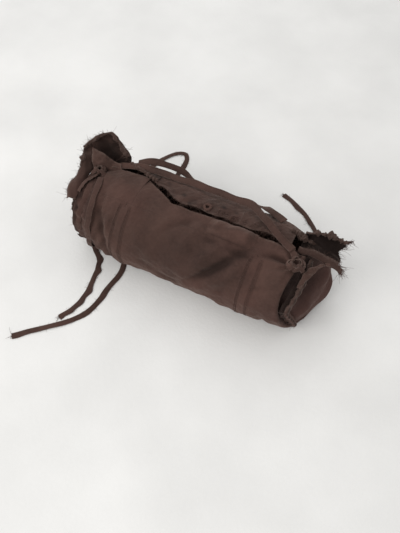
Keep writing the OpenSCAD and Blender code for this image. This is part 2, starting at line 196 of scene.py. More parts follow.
def painted_shade_at(x, a):
    """Share of painted shade, 0 to 0.9: it grows with the depth of the folds, with a dark line of
    painted shade on each side of the tie and a wide soft patch of painted shade on the front."""
    x, a = np.broadcast_arrays(np.asarray(x, float), np.asarray(a, float))
    front = ease(a, 90, 106) * (1 - ease(a, 206, 236))
    drift = 0.010 * np.sin(np.radians(a) * 2.2)
    total = 0.52 * ease(-folds(x, a), 0.0006, 0.0068)
    total += 0.75 * front * hump(x + 0.1895 + 0.0015 * np.sin(a * 0.3), 0.0042)
    total += 0.40 * front * hump(x + 0.1600 - drift, 0.0045)
    total += 0.36 * hump(x + 0.015, 0.080) * hump(a - 138, 30)
    return np.clip(total, 0, 0.9)


def wall(x, a, off=0.0, relief=1.0):
    """The point of the bag at x and angle a: an ellipse of the local size, pushed out by off and
    by the folds, and cut off flat where it lies on the floor."""
    x, a = np.broadcast_arrays(np.asarray(x, float), np.asarray(a, float))
    s, cos, sin = size_at(x), np.cos(np.radians(a)), np.sin(np.radians(a))
    drawn = np.where(cos > 0, slump_at(x), 0)
    out = off + (relief * folds(x, a) if relief else 0)
    z = MIDDLE_Z + (HALF_H * s + out) * sin
    return np.stack(
        [x, (HALF_W * s - drawn + out) * cos, np.maximum(z, under(x) - np.minimum(off, 0.002))], -1
    )


def right_end_x(a):
    """How far the right end reaches at angle a: further at the back and at its foot."""
    return RIGHT_LEN + RIGHT_SLANT * np.cos(np.radians(a)) - RIGHT_TILT * np.sin(np.radians(a))


def slit_at(x):
    """Angle of the mouth's slit: on top, and drifting to the back towards the left end."""
    return SLIT_ANGLE - SLIT_DRIFT * np.maximum(0, -0.050 - x) / (LIP_LEFT - 0.050)


def back_edge_at(x):
    """Angle of the back panel's top edge: the back fold beside the mouth, and from there a
    straight line down to the foot of the hood at the left end."""
    share = np.clip((-x - LIP_LEFT) / (LEFT_LEN - LIP_LEFT), 0, 1)
    return BACK_FOLD + (HOOD_LOW - BACK_FOLD) * share


def arc(length):
    """What a length along the wall spans as an angle at the top."""
    return np.degrees(length / HALF_W)


# ---- Mesh helpers ----------------------------------------------------------------------


def group():
    """The sizes and colours that a user may change."""
    return bpy.context.scene.rope_bag


def unit(v):
    """v divided by its own length."""
    return v / np.maximum(np.linalg.norm(v, axis=-1, keepdims=True), 1e-12)


def distance_along(line):
    """Length of a line from its start to each of its points: the running sum of its steps."""
    return np.concatenate([[0], np.cumsum(np.linalg.norm(np.diff(line, axis=0), axis=1))])


def sideways(along):
    """Two unit ways square to a line: its cross product with up, or with the bag's length where
    the line is nearly upright, and the cross product of the line and the first."""
    helper = np.where(np.abs(along[..., 2:3]) < 0.9, [0, 0, 1.0], [1.0, 0, 0])
    one = unit(np.cross(along, helper))
    return one, np.cross(along, one)


def smooth_line(points, count):
    """Catmull-Rom curve through the points, resampled to count points an equal length apart."""
    p = np.asarray(points, float)
    padded = np.vstack([2 * p[0] - p[1], p, 2 * p[-1] - p[-2]])
    u = np.linspace(0, len(p) - 1, 24 * len(p))
    i = np.minimum(u.astype(int), len(p) - 2)
    t = (u - i)[:, None]
    a, b, c, d = padded[i], padded[i + 1], padded[i + 2], padded[i + 3]
    line = 0.5 * (
        2 * b + (c - a) * t + (2 * a - 5 * b + 4 * c - d) * t**2 + (3 * b - a - 3 * c + d) * t**3
    )
    gone = distance_along(line)
    want = np.linspace(0, gone[-1], count)
    return np.stack([np.interp(want, gone, line[:, k]) for k in range(3)], -1)


def facing(p):
    """Unit normal of a grid: the cross product of its two slopes."""
    return unit(np.cross(np.gradient(p, axis=0), np.gradient(p, axis=1)))


def make_object(name, verts, faces, uv=None, edge=None, material=None, smooth=True, dark=None):
    """A mesh object at the origin. uv is one pair for each vertex, in metres of cloth, edge a
    share from 0 inside the cloth to 1 on its worn edge, and dark a share of painted shade."""
    mesh = bpy.data.meshes.new(name)
    mesh.from_pydata(verts.tolist(), [], faces.tolist() if hasattr(faces, "tolist") else faces)
    mesh.validate()
    mesh.polygons.foreach_set("use_smooth", np.full(len(mesh.polygons), smooth))
    if uv is not None:
        layer = mesh.uv_layers.new(name="cloth_grain")
        loop = np.zeros(len(mesh.loops), np.int32)
        mesh.loops.foreach_get("vertex_index", loop)
        layer.data.foreach_set("uv", uv[loop].astype(np.float32).ravel())
    # worn_edge holds real wear; the second attribute holds painted shade
    for title, share in (("worn_edge", edge), ("painted_shade", dark)):
        value = np.zeros(len(verts)) if share is None else share
        layer = mesh.attributes.new(title, "FLOAT", "POINT")
        layer.data.foreach_set("value", value.astype(np.float32))
    obj = bpy.data.objects.new(name, mesh)
    bpy.context.scene.collection.objects.link(obj)
    if material:
        mesh.materials.append(material)
    return obj


def quads(rows, cols, wrap=False, start=0):
    """Corner numbers of a grid's quads, row by row; wrap joins the last column to the first."""
    i, j = np.meshgrid(np.arange(rows - 1), np.arange(cols if wrap else cols - 1), indexing="ij")
    k = (j + 1) % cols
    here, right = i * cols + j, i * cols + k
    return start + np.stack([here, here + cols, right + cols, right], -1).reshape(-1, 4)


def shell(name, p, thick, material, flip=False, edges=(1, 1, 1, 1), dark=0.0, dark_in=0.0):
    """A sheet of cloth with a real thickness: the grid, a second grid that lies inside it by
    thick along the normal, and a rim that joins the two. edges says which of the four sides
    (first row, last row, first and last column) are worn, in a band that fades inwards, and dark
    and dark_in how much painted shade darkens its face and its inside."""
    dark, dark_in = (np.broadcast_to(value, p.shape[:2]) for value in (dark, dark_in))
    if flip:
        p, dark, dark_in = p[:, ::-1], dark[:, ::-1], dark_in[:, ::-1]
        edges = (edges[0], edges[1], edges[3], edges[2])
    rows, cols = p.shape[:2]
    inner = p - facing(p) * thick
    side = rows * cols

    def rim(line, other_way):
        a, b = line[:-1], line[1:]
        strip = np.stack([a, b, b + side, a + side], -1)
        return strip[:, ::-1] if other_way else strip

    grid = np.arange(side).reshape(rows, cols)
    parts = [
        quads(rows, cols), quads(rows, cols, start=side)[:, ::-1],
        rim(grid[0], False), rim(grid[-1], True), rim(grid[:, 0], True), rim(grid[:, -1], False),
    ]
    step_i = np.linalg.norm(np.diff(p, axis=0), axis=-1).mean(1)
    step_j = np.linalg.norm(np.diff(p, axis=1), axis=-1).mean(0)
    u = np.concatenate([[0], np.cumsum(step_i)])[:, None] + np.zeros((1, cols))
    v = np.concatenate([[0], np.cumsum(step_j)])[None, :] + np.zeros((rows, 1))
    far = np.ones((rows, cols))
    for is_worn, distance in zip(edges, (u, u[-1:] - u, v, v[:, -1:] - v)):
        if is_worn:
            far = np.minimum(far, distance / WORN_WIDTH)
    worn = 1 - np.clip(far, 0, 1)
    uv = np.stack([u, v], -1).reshape(-1, 2)
    verts = np.concatenate([p.reshape(-1, 3), inner.reshape(-1, 3)])
    return make_object(
        name, verts, np.concatenate(parts), np.concatenate([uv, uv]),
        np.concatenate([worn.ravel(), worn.ravel()]), material,
        dark=np.concatenate([dark.ravel(), dark_in.ravel()]),
    )


def tubes(name, lines, radius, material, sides=4, taper=0.6):
    """Many thin threads in one mesh: a ring of a few points is carried along each line, with the
    radius shrinking to taper times itself at the tip, and both ends closed."""
    lines = np.asarray(lines, float)
    count, rings = lines.shape[:2]
    one, two = sideways(unit(np.gradient(lines, axis=1)))
    turn = np.arange(sides) * 2 * np.pi / sides
    size = np.asarray(radius, float).reshape(-1, 1) * (1 - (1 - taper) * np.linspace(0, 1, rings))
    size = np.broadcast_to(size, (count, rings))[..., None, None]
    ring = one[:, :, None] * np.cos(turn)[:, None] + two[:, :, None] * np.sin(turn)[:, None]
    verts = (lines[:, :, None] + ring * size).reshape(-1, 3)
    base = quads(rings, sides, True)
    block = rings * sides
    body = (base[None] + (np.arange(count) * block)[:, None, None]).reshape(-1, 4)
    cap = np.arange(sides)
    ends = np.concatenate([
        (np.arange(count) * block)[:, None] + cap,
        (np.arange(count) * block + block - sides)[:, None] + cap[::-1],
    ])
    faces = body[:, ::-1].tolist() + ends[:, ::-1].tolist()
    return make_object(name, verts, faces, material=material)


def fray(name, edge, outward, count, length, seed, radius=0.00022, droop=0.5, spread=0.9):
    """Loose threads on a raw edge. Each starts on the edge and runs outwards in a curve: its base,
    plus a way out times t, plus a random bend times t squared, minus some droop times t squared."""
    random = np.random.default_rng(seed)
    edge, outward = np.asarray(edge, float), unit(np.asarray(outward, float))
    at = random.uniform(0, len(edge) - 1.001, count)
    i = at.astype(int)
    share = (at - i)[:, None]
    base = edge[i] * (1 - share) + edge[i + 1] * share
    way = unit(outward[i] + random.normal(0, spread * 0.45, (count, 3)))
    reach = length * (0.25 + random.gamma(2.0, 0.32, count))[:, None]
    reach = np.minimum(reach, length * 2.4)
    curve = random.normal(0, 0.7, (count, 3)) - np.array([0, 0, droop])
    t = np.linspace(0, 1, 6)[None, :, None]
    lines = base[:, None] - way[:, None] * 0.0012
    lines = lines + (way * reach)[:, None] * t + (curve * reach)[:, None] * t**2 * 0.55
    lines[..., 2] = np.maximum(lines[..., 2], 0.0004)
    thin = random.uniform(0.7, 1.25, count) * radius
    return tubes(name, lines, thin, MATERIALS["thread"], 3, 0.5)


def stitches(name, line, up, pitch=0.0032, length=0.0021, radius=0.00028, seed=0):
    """A row of running stitches: short threads laid along a line, each an arch that dips into the
    cloth at both ends."""
    line, up = np.asarray(line, float), unit(np.asarray(up, float))
    gone = distance_along(line)
    count = max(2, int(gone[-1] / pitch))
    random = np.random.default_rng(seed)
    start = np.arange(count) * gone[-1] / count + random.uniform(-0.0002, 0.0002, count)
    t = np.linspace(0, 1, 5)
    at = start[:, None] + t[None] * length
    lines = np.stack([np.interp(at, gone, line[:, k]) for k in range(3)], -1)
    rise = np.stack([np.interp(at, gone, up[:, k]) for k in range(3)], -1)
    lines += rise * (radius * (1.6 * np.sin(np.pi * t) - 0.7))[None, :, None]
    return tubes(name, lines, np.full(count, radius), MATERIALS["stitch"], 4, 1.0)


def tape(name, route, width, thick, normal, material, wobble, seed, curl=0.0):
    """A flat strap carried along a route: a rounded flat section with a shallow sewn groove near
    each edge. normal says where its face looks at each point, and wobble how far it strays."""
    cols = 22
    route, normal = np.asarray(route, float), unit(np.asarray(normal, float))
    count = len(route)
    along = unit(np.gradient(route, axis=0))
    across = unit(np.cross(normal, along))
    face = np.cross(along, across)
    turn = np.linspace(0, 2 * np.pi, cols, endpoint=False)
    cos, sin = np.cos(turn), np.sin(turn)
    flat = np.sign(cos) * np.abs(cos) ** 0.55
    high = np.sign(sin) * np.abs(sin) ** 0.7
    groove = 1 - 0.35 * hump(np.abs(flat) - 0.68, 0.10)
    random = np.random.default_rng(seed)
    t = np.linspace(0, 1, count)
    ripple = sum(
        random.normal(0, 0.5) * np.sin(t * np.pi * k + random.uniform(0, 6)) for k in range(3, 17)
    )
    wide = width / 2 * (1 + 0.05 * ripple)[:, None]
    shift = (wobble * ripple)[:, None]
    verts = (
        route[:, None] + across[:, None] * (flat * wide + shift)[..., None]
        + face[:, None] * (high * groove * thick / 2 - curl * flat**2)[..., None]
    )
    block = verts.reshape(-1, 3)
    faces = quads(count, cols, True)[:, ::-1].tolist()
    faces += [list(range(cols))[::-1], list(range((count - 1) * cols, count * cols))]
    uv = np.stack([np.repeat(distance_along(route), cols),
                   np.tile(flat * width / 2 + 0.02, count)], -1)
    worn = np.tile(ease(np.abs(flat), 0.8, 1.0), count)
    return make_object(name, block, faces, uv, worn, material)


def roll(name, line, radius, material, seed, lumps):
    """A rolled raw edge: a tube along a line whose radius swells and shrinks at random and
    narrows at both ends, twisted like a rope of cloth."""
    sides = 14
    line = np.asarray(line, float)
    count = len(line)
    random = np.random.default_rng(seed)
    t = np.linspace(0, 1, count)
    swell = sum(
        random.normal(0, 1 / k**0.5) * np.sin(2 * np.pi * k * t + random.uniform(0, 6))
        for k in range(1, 14)
    )
    narrow = np.sqrt(np.clip(np.sin(np.pi * np.clip(t, 0.004, 0.996)) * 6, 0, 1))
    size = np.maximum(radius * (1 + lumps * 0.4 * swell), radius * 0.45) * narrow
    one, two = sideways(unit(np.gradient(line, axis=0)))
    turn = np.arange(sides) * 2 * np.pi / sides
    twist = turn[None] + 9 * t[:, None]
    section = 1 + 0.20 * np.cos(3 * twist) + 0.08 * np.cos(7 * twist)
    verts = line[:, None] + (size[:, None] * section)[..., None] * (
        one[:, None] * np.cos(turn)[None, :, None] + two[:, None] * np.sin(turn)[None, :, None]
    )
    verts[..., 2] = np.maximum(verts[..., 2], 0.0003)
    faces = quads(count, sides, True)[:, ::-1].tolist()
    faces += [list(range(sides))[::-1], list(range((count - 1) * sides, count * sides))]
    uv = np.stack([np.repeat(distance_along(line), sides), np.tile(turn * radius, count)], -1)
    return make_object(name, verts.reshape(-1, 3), faces, uv,
                       np.full(count * sides, 0.6), material)


def place(obj, body, slot, *nodes):
    """Rides a piece on its body and hides the plain solids it stands for. slot is not used."""
    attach(obj, body)
    if nodes:
        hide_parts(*nodes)
    return obj


def bend(obj, body, slot, start, end, *nodes):
    """Bakes a piece's transform into its mesh and hides the plain solids it stands for. body, slot,
    start and end are not used.
    """
    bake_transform(obj)
    if nodes:
        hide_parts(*nodes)
    return obj


# ---- Materials -------------------------------------------------------------------------

MATERIALS = {}


def cloth_material(name, colour, worn, sheen=0.14, weave=0.22, crumple=0.55):
    """Brown cotton: two crossed sets of threads from the cloth's own grain, slow patches of faded
    and dark colour, pale wear on the edges, painted shade in the folds, and small crumples in the
    bump."""
    material = bpy.data.materials.new(name)
    material.use_nodes = True
    tree = material.node_tree
    node, link = tree.nodes.new, tree.links.new
    shader = tree.nodes["Principled BSDF"]
    shader.inputs["Sheen Weight"].default_value = sheen
    shader.inputs["Sheen Roughness"].default_value = 0.45
    shader.inputs["Sheen Tint"].default_value = (0.82, 0.62, 0.54, 1)
    shader.inputs["Specular IOR Level"].default_value = 0.16
    place_in = node("ShaderNodeTexCoord").outputs["Object"]
    grain = node("ShaderNodeUVMap")
    grain.uv_map = "cloth_grain"

    def feed(socket, value):
        if hasattr(value, "default_value"):
            link(value, socket)
        else:
            socket.default_value = value

    def noise(scale, detail):
        made = node("ShaderNodeTexNoise")
        made.inputs["Scale"].default_value = scale
        made.inputs["Detail"].default_value = detail
        made.inputs["Roughness"].default_value = 0.55
        link(place_in, made.inputs["Vector"])
        return made.outputs["Fac"]

    def threads(direction):
        made = node("ShaderNodeTexWave")
        made.wave_type, made.bands_direction = "BANDS", direction
        made.inputs["Scale"].default_value = 320
        made.inputs["Distortion"].default_value = 1.6
        made.inputs["Detail"].default_value = 2
        made.inputs["Detail Scale"].default_value = 0.7
        link(grain.outputs["UV"], made.inputs["Vector"])
        return made.outputs["Fac"]

    def maths(kind, one, two):
        made = node("ShaderNodeMath")
        made.operation = kind
        feed(made.inputs[0], one)
        feed(made.inputs[1], two)
        return made.outputs[0]

    def blend_colour(share, one, two):
        made = node("ShaderNodeMix")
        made.data_type, made.blend_type = "RGBA", "MIX"
        feed(made.inputs[0], share)
        feed(made.inputs[6], one)
        feed(made.inputs[7], two)
        return made.outputs[2]

    def shade(share):
        return (*(min(1, c * share) for c in colour), 1)

    def spread(value, low, high):
        made = node("ShaderNodeMapRange")
        made.inputs["From Min"].default_value = low
        made.inputs["From Max"].default_value = high
        link(value, made.inputs["Value"])
        return made.outputs["Result"]

    red = (colour[0] * 1.12, colour[1] * 0.88, colour[2] * 0.92, 1)
    patches = spread(noise(16, 3), 0.32, 0.68)
    base = blend_colour(patches, shade(0.62), shade(1.36))
    base = blend_colour(maths("MULTIPLY", spread(noise(9, 2), 0.45, 0.75), 0.5), base, red)
    slub = maths("MULTIPLY", spread(noise(260, 3), 0.35, 0.7), 0.30)
    base = blend_colour(slub, base, shade(1.7))
    weft, warp = threads("X"), threads("Y")
    web = maths("MAXIMUM", weft, warp)
    between = maths("MULTIPLY", maths("SUBTRACT", 1.0, web), 0.55)
    base = blend_colour(between, base, shade(0.40))
    wear = node("ShaderNodeAttribute")
    wear.attribute_name = "worn_edge"
    rubbed = maths("MULTIPLY", wear.outputs["Fac"], spread(noise(420, 3), 0.35, 0.72))
    base = blend_colour(maths("MULTIPLY", rubbed, 0.6), base, (*worn, 1))
    # painted shade: the attribute darkens the colour towards a near black brown
    painted_shade = node("ShaderNodeAttribute")
    painted_shade.attribute_name = "painted_shade"
    base = blend_colour(painted_shade.outputs["Fac"], base, shade(0.16))
    link(base, shader.inputs["Base Color"])
    rough_map = maths("ADD", 0.74, maths("MULTIPLY", noise(34, 3), 0.22))
    link(rough_map, shader.inputs["Roughness"])
    tall = maths("ADD", maths("MULTIPLY", web, weave), maths("MULTIPLY", noise(120, 5), crumple))
    tall = maths("ADD", tall, maths("MULTIPLY", noise(34, 4), crumple * 2.2))
    bump = node("ShaderNodeBump")
    bump.inputs["Strength"].default_value = 0.55
    bump.inputs["Distance"].default_value = 0.0011
    link(tall, bump.inputs["Height"])
    link(bump.outputs["Normal"], shader.inputs["Normal"])
    MATERIALS[name] = material


def floor_material():
    """Pale trowelled concrete: slow darker patches and a fine soft orange-peel bump."""
    material = bpy.data.materials.new("pale_concrete")
    material.use_nodes = True
    tree = material.node_tree
    shader = tree.nodes["Principled BSDF"]
    where = tree.nodes.new("ShaderNodeTexCoord").outputs["Object"]

    def noise(scale, detail):
        made = tree.nodes.new("ShaderNodeTexNoise")
        made.inputs["Scale"].default_value = scale
        made.inputs["Detail"].default_value = detail
        tree.links.new(where, made.inputs["Vector"])
        return made.outputs["Fac"]

    ramp = tree.nodes.new("ShaderNodeValToRGB")
    tint = group().floor_colour
    ramp.color_ramp.elements[0].position = 0.34
    ramp.color_ramp.elements[0].color = (*(c * 0.90 for c in tint), 1)
    ramp.color_ramp.elements[1].position = 0.66
    ramp.color_ramp.elements[1].color = (*tint, 1)
    tree.links.new(noise(5.5, 8), ramp.inputs["Fac"])
    tree.links.new(ramp.outputs["Color"], shader.inputs["Base Color"])
    bump = tree.nodes.new("ShaderNodeBump")
    bump.inputs["Strength"].default_value = 0.25
    bump.inputs["Distance"].default_value = 0.0012
    tree.links.new(noise(190, 4), bump.inputs["Height"])
    tree.links.new(bump.outputs["Normal"], shader.inputs["Normal"])
    shader.inputs["Roughness"].default_value = 0.62
    return material


# ---- Sizes and colours a user may change -------------------------------------------------


class RopeBagLooks(bpy.types.PropertyGroup):
    """Sizes and colours of the bag's cloth"""

    fold_depth: FloatProperty(
        name="Fold depth", description="How deep the creases in the cloth are, as a share",
        default=1.0, min=0.0, max=1.5)
    cloth_thickness: FloatProperty(
        name="Cloth thickness", description="Thickness of one layer of cotton",
        default=0.0011, min=0.0004, max=0.0015, unit="LENGTH", precision=4)
    fray_length: FloatProperty(
        name="Fray length", description="Usual length of the loose threads on raw edges",
        default=0.0045, min=0.0, max=0.010, unit="LENGTH", precision=4)
    fray_count: IntProperty(
        name="Fray count", description="Loose threads on each metre of raw edge",
        default=900, min=0, max=3000)
    stitch_pitch: FloatProperty(
        name="Stitch pitch", description="Distance from one stitch to the next",
        default=0.0032, min=0.002, max=0.006, unit="LENGTH", precision=4)
    cloth_colour: FloatVectorProperty(
        name="Cloth colour", description="Main colour of the brown cotton",
        subtype="COLOR", default=(0.0570, 0.0312, 0.0250), min=0, max=1)
    worn_colour: FloatVectorProperty(
        name="Worn colour", description="Colour of rubbed edges and broken threads",
        subtype="COLOR", default=(0.150, 0.112, 0.096), min=0, max=1)
    floor_colour: FloatVectorProperty(
        name="Floor colour", description="Colour of the pale floor",
        subtype="COLOR", default=(0.745, 0.745, 0.738), min=0, max=1)


# ---- The body --------------------------------------------------------------------------


def wall_patch(x_line, angle_low, angle_high, rows, off=0.0):
    """Points and painted shade of a patch of the bag: equal steps from one angle to another at each
    x, where both angles may differ along the bag."""
    share = np.linspace(0, 1, rows)[None]
    x = np.asarray(x_line, float)[:, None] + 0 * share
    low = np.broadcast_to(np.asarray(angle_low, float), (len(x_line),))[:, None]
    high = np.broadcast_to(np.asarray(angle_high, float), (len(x_line),))[:, None]
    angle = low + (high - low) * share
    return wall(x, angle, off), painted_shade_at(x, angle)


def raw_edge(name, p_edge, p_next, body, slot, seed, density=1.0, length=1.0, droop=0.5):
    """Loose threads along the edge p_edge, pointing away from the row p_next inside it."""
    metres = np.linalg.norm(np.diff(p_edge, axis=0), axis=1).sum()
    count = max(4, int(metres * group().fray_count * density))
    obj = fray(name, p_edge, p_edge - p_next, count, group().fray_length * length, seed,
               droop=droop)
    return place(obj, body, slot)


def front_draw(a):
    """How far the front of the right end is drawn back, in a smooth hump round its middle, so
    that a dark gap opens between the panel's soft edge and the seam."""
    return 0.0055 * hump(a - 150, 42) + 0.0015


def ladder(name, p, first, last, count, body, slot, seed):
    """A ladder of broken threads across the worn edge of a lip: each follows the grid inwards
    from the edge, just above the cloth."""
    random = np.random.default_rng(seed)
    inside = np.linspace(20, p.shape[1] - 1, 7).astype(int)
    picks = random.integers(first, last, count)
    drift = [np.clip(picks + random.integers(-2, 3, count), 0, len(p) - 1) for _ in inside]
    lines = np.stack([p[row, i] for row, i in zip(drift, inside)], 1)
    normal = facing(p)[picks, 25]
    normal *= np.sign(normal[:, 2:3])
    lines = lines + normal[:, None] * 0.0008
    obj = tubes(name, lines, np.full(count, 0.00028), MATERIALS["loop_thread"], 3, 0.8)
    place(obj, body, slot)


class BAG_OT_body(bpy.types.Operator):
    """Sew the front and back panels and the shoulders"""

    bl_idname = "rope_bag.body"
    bl_label = "Body panels"

    def execute(self, context):
        thick = group().cloth_thickness
        cloth = MATERIALS["body_cotton"]
        rows = 150
        lengths = (
            ("left", -LEFT_LEN, BAND_LEFT - GAP / 2, 62),
            ("middle", BAND_LEFT + GAP / 2, BAND_RIGHT - GAP / 2, 150),
        )
        for side, low, high in (
            ("front", FRONT_FOLD, BASE_LINE), ("back", BASE_LINE, 360 + BACK_FOLD)
        ):
            for part, start, stop, count in lengths:
                x = np.linspace(start, stop, count)
                top = 360 + back_edge_at(x) if side == "back" else high
                p, dark = wall_patch(x, low, top, rows)
                obj = shell(f"{side}_{part}_panel_cloth", p, thick, cloth, flip=True,
                            edges=(0, 0, 0, 0), dark=dark)
                place(obj, "bag", "panel_cloth", f"{side}_{part}_panel")
            # the right length, whose end rolls inwards
            angle = np.linspace(low, high, rows)[None]
            share = np.linspace(0, 1, 64)[:, None]
            end = right_end_x(angle) - front_draw(angle)
            x = BAND_RIGHT + GAP / 2 + (end - BAND_RIGHT - GAP / 2) * share
            p, dark = self.rolled(wall(x, angle), painted_shade_at(x, angle))
            obj = shell(f"{side}_right_panel_cloth", p, thick, cloth, flip=True,
                        edges=(0, 1, 0, 0), dark=dark)
            place(obj, "bag", "panel_cloth", f"{side}_right_panel")
        self.shoulders(thick, cloth)
        return {"FINISHED"}

    def rolled(self, p, dark, radius=0.0042):
        """Adds a half turn at the right edge: each extra row goes on round a circle of the given
        radius, first outwards along the bag and then back towards the middle of the end, and
        gets darker with painted shade as it goes in."""
        edge = p[-1]
        centre_way = unit(np.stack([np.zeros(edge.shape[0]), -edge[:, 1],
                                    MIDDLE_Z - edge[:, 2]], -1))
        flat = edge[:, 2] < 0.004
        centre_way[flat] = [0, 0, 1]
        turn = np.radians(np.linspace(12, 215, 12))[:, None, None]
        forward = np.array([1.0, 0, 0])
        more = edge[None] + radius * (np.sin(turn) * forward + (1 - np.cos(turn)) * centre_way)
        deep = np.linspace(0, 1, 12)[:, None] ** 1.5 * 0.9 + 0 * dark[:1]
        return np.concatenate([p, more]), np.concatenate([dark, deep])

    def shoulders(self, thick, cloth):
        """The cloth on top beyond both ends of the mouth, and the fixed flap behind its slit."""
        x = np.linspace(-LEFT_LEN, -LIP_LEFT, 66)
        p, dark = wall_patch(x, SLIT_ANGLE - SLIT_DRIFT, FRONT_FOLD, 40)
        obj = shell("left_shoulder_cloth", p, thick, cloth, flip=True, edges=(0, 0, 1, 0),
                    dark=dark)
        place(obj, "bag", "panel_cloth", "left_shoulder")
        raw_edge("left_shoulder_fray", p[:, 0], p[:, 1], "bag", "panel_cloth", 21, 0.5, 0.8)
        angle = np.linspace(91, FRONT_FOLD, 28)[None]
        share = np.linspace(0, 1, 60)[:, None]
        x = LIP_RIGHT + (right_end_x(angle) - front_draw(angle) - LIP_RIGHT) * share
        p, dark = self.rolled(wall(x, angle), painted_shade_at(x, angle))
        # painted shade on the shoulder's face from the folds and the roll, and on its inside
        obj = shell("right_shoulder_cloth", p, thick, cloth, flip=True, edges=(0, 1, 1, 0),
                    dark=dark, dark_in=0.7)
        place(obj, "bag", "panel_cloth", "right_shoulder")
        raw_edge("right_shoulder_fray", p[:, 0], p[:, 1], "bag", "panel_cloth", 22, 0.9, 1.0)
        # the fixed flap, whose raw edge lies over the front lip's
        x = np.linspace(BACK_LIP_RIGHT + 0.0002, RIGHT_LEN - 0.040, 90)
        share = np.linspace(0, 1, 34)[None]
        slit = SLIT_ANGLE - arc(SLIT_WIDTH / 2)
        top = slit + 1.6 * np.sin(x * 118)[:, None] * ease(share, 0.6, 1)
        lift = 0.0022 * ease(share, 0.6, 1) * (0.9 + 0.4 * np.sin(x * 83))[:, None]
        p = wall(x[:, None] + 0 * share, BACK_FOLD + (top - BACK_FOLD) * share, lift)
        # painted shade on the inside of the flap
        obj = shell("right_flap_cloth", p, thick, MATERIALS["lip_cotton"], flip=True,
                    edges=(0, 1, 0, 1), dark_in=0.8)
        place(obj, "bag", "panel_cloth", "right_flap")
        raw_edge("right_flap_fray", p[:, -1], p[:, -2], "bag", "panel_cloth", 23, 1.6, 1.1)
        ladder("right_flap_ladder", p, 4, 66, 34, "bag", "panel_cloth", 24)


def end_grid(side, rings, turns):
    """Points and painted shade of an end panel, as rings round its middle: the rim of the bag
    shrunk by r, bulging by 1 - r squared, with its own dents and pleats that run to the middle."""
    r = np.linspace(1, 0, rings)[:, None]
    a = np.linspace(0, 360, turns, endpoint=False)[None]
    end = -LEFT_LEN if side < 0 else right_end_x(a)
    rim = wall(end, a, -0.0012)
    hub = np.array([side * (LEFT_LEN if side < 0 else RIGHT_LEN), 0, MIDDLE_Z])
    p = hub + (rim - hub) * r[..., None]
    up, out = r * np.sin(np.radians(a)), r * np.cos(np.radians(a))
    if side > 0:
        # a rounded cup: full below and at the back, hollow above and towards the front
        hollow = np.hypot(out + 0.30, up - 0.42)
        shift = 0.021 * (1 - r**2) * (0.70 - 0.45 * up + 0.45 * out)
        shift -= 0.024 * hump(hollow, 0.36)
        shift -= 0.012 * hump(a - 145, 52) * ease(r, 0.62, 0.95)
        ripple = np.sin(out * 6 - up * 9 + 1.0)
        shift += 0.0030 * ripple * hump(r - 0.55, 0.30) * hump(up + 0.2, 0.5)
        # painted shade: a little over the whole right end, more in the hollow and most along the
        # drawn-back front
        dark = 0.10 + 0.55 * hump(hollow, 0.42)
        dark = dark + 0.75 * hump(a - 150, 62) * ease(r, 0.66, 0.92)
    else:
        shift = 0.020 * (1 - r**2) * (0.8 - 0.25 * up)
        shift += 0.0024 * np.sin(up * 13 - out * 4) * hump(r - 0.6, 0.40)
        shift += 0.0013 * np.sin(np.radians(a) * 17) * r * hump(r - 0.85, 0.25)
        # painted shade: a little over the whole left end, more near its rim and on its upper part
        dark = 0.12 + 0.30 * ease(r, 0.8, 1) + 0.25 * hump(up - 0.5, 0.3)
    shift = shift + 0.0012 * rumple(p, 0.035, 9) * (1 - r**4)
    p[..., 0] += side * shift
    p[..., 2] = np.maximum(p[..., 2], 0.0006)
    return p, np.clip(dark, 0, 0.92)


class BAG_OT_ends(bpy.types.Operator):
    """Close both ends of the bag with gathered panels"""

    bl_idname = "rope_bag.ends"
    bl_label = "End panels"

    def execute(self, context):
        for side, name in ((-1, "left_end_panel"), (1, "right_end_panel")):
            p, dark = end_grid(side, 56, 150)
            obj = self.disc(name + "_cloth", p, dark, group().cloth_thickness, side)
            place(obj, "bag", "end_cloth", name)
        return {"FINISHED"}

    def disc(self, name, p, dark, thick, side):
        """Rings of points that shrink to one pole, with a second layer inside by thick along
        the normal, and a rim that joins the two."""
        rows, cols = p.shape[:2]
        ring = np.concatenate([p[:, -1:], p, p[:, :1]], 1)
        normal = facing(ring)[:, 1:-1]
        normal[-1] = [side * (1 if normal[2, :, 0].mean() * side > 0 else -1), 0, 0]
        if (normal[rows // 2, :, 0].mean()) * side < 0:
            normal = -normal
        inner = p - normal * thick
        block = (rows - 1) * cols
        outer_v, inner_v = p[:-1].reshape(-1, 3), inner[:-1].reshape(-1, 3)
        verts = np.concatenate([outer_v, inner_v, p[-1:, 0], inner[-1:, 0]])
        body = quads(rows - 1, cols, True)
        j = np.arange(cols)
        k = (j + 1) % cols
        last = (rows - 2) * cols
        cap = np.stack([last + j, np.full(cols, 2 * block), last + k], -1)
        cap_in = np.stack([block + last + k, np.full(cols, 2 * block + 1), block + last + j], -1)
        rim = np.stack([j, k, block + k, block + j], -1)
        faces = body.tolist() + (body[:, ::-1] + block).tolist()
        faces += cap.tolist() + cap_in.tolist() + rim.tolist()
        if side > 0:
            faces = [f[::-1] for f in faces]
        u, v = verts[:, 1] + 0.2, verts[:, 2]
        worn = np.zeros(len(verts))
        worn[:cols * 2] = 0.7
        worn[block:block + cols * 2] = 0.7
        dark = np.concatenate([dark[:-1].ravel(), dark[:-1].ravel(), dark[-1:, 0], dark[-1:, 0]])
        return make_object(name, verts, faces, np.stack([u, v], -1), worn,
                           MATERIALS["end_cotton"], dark=dark)


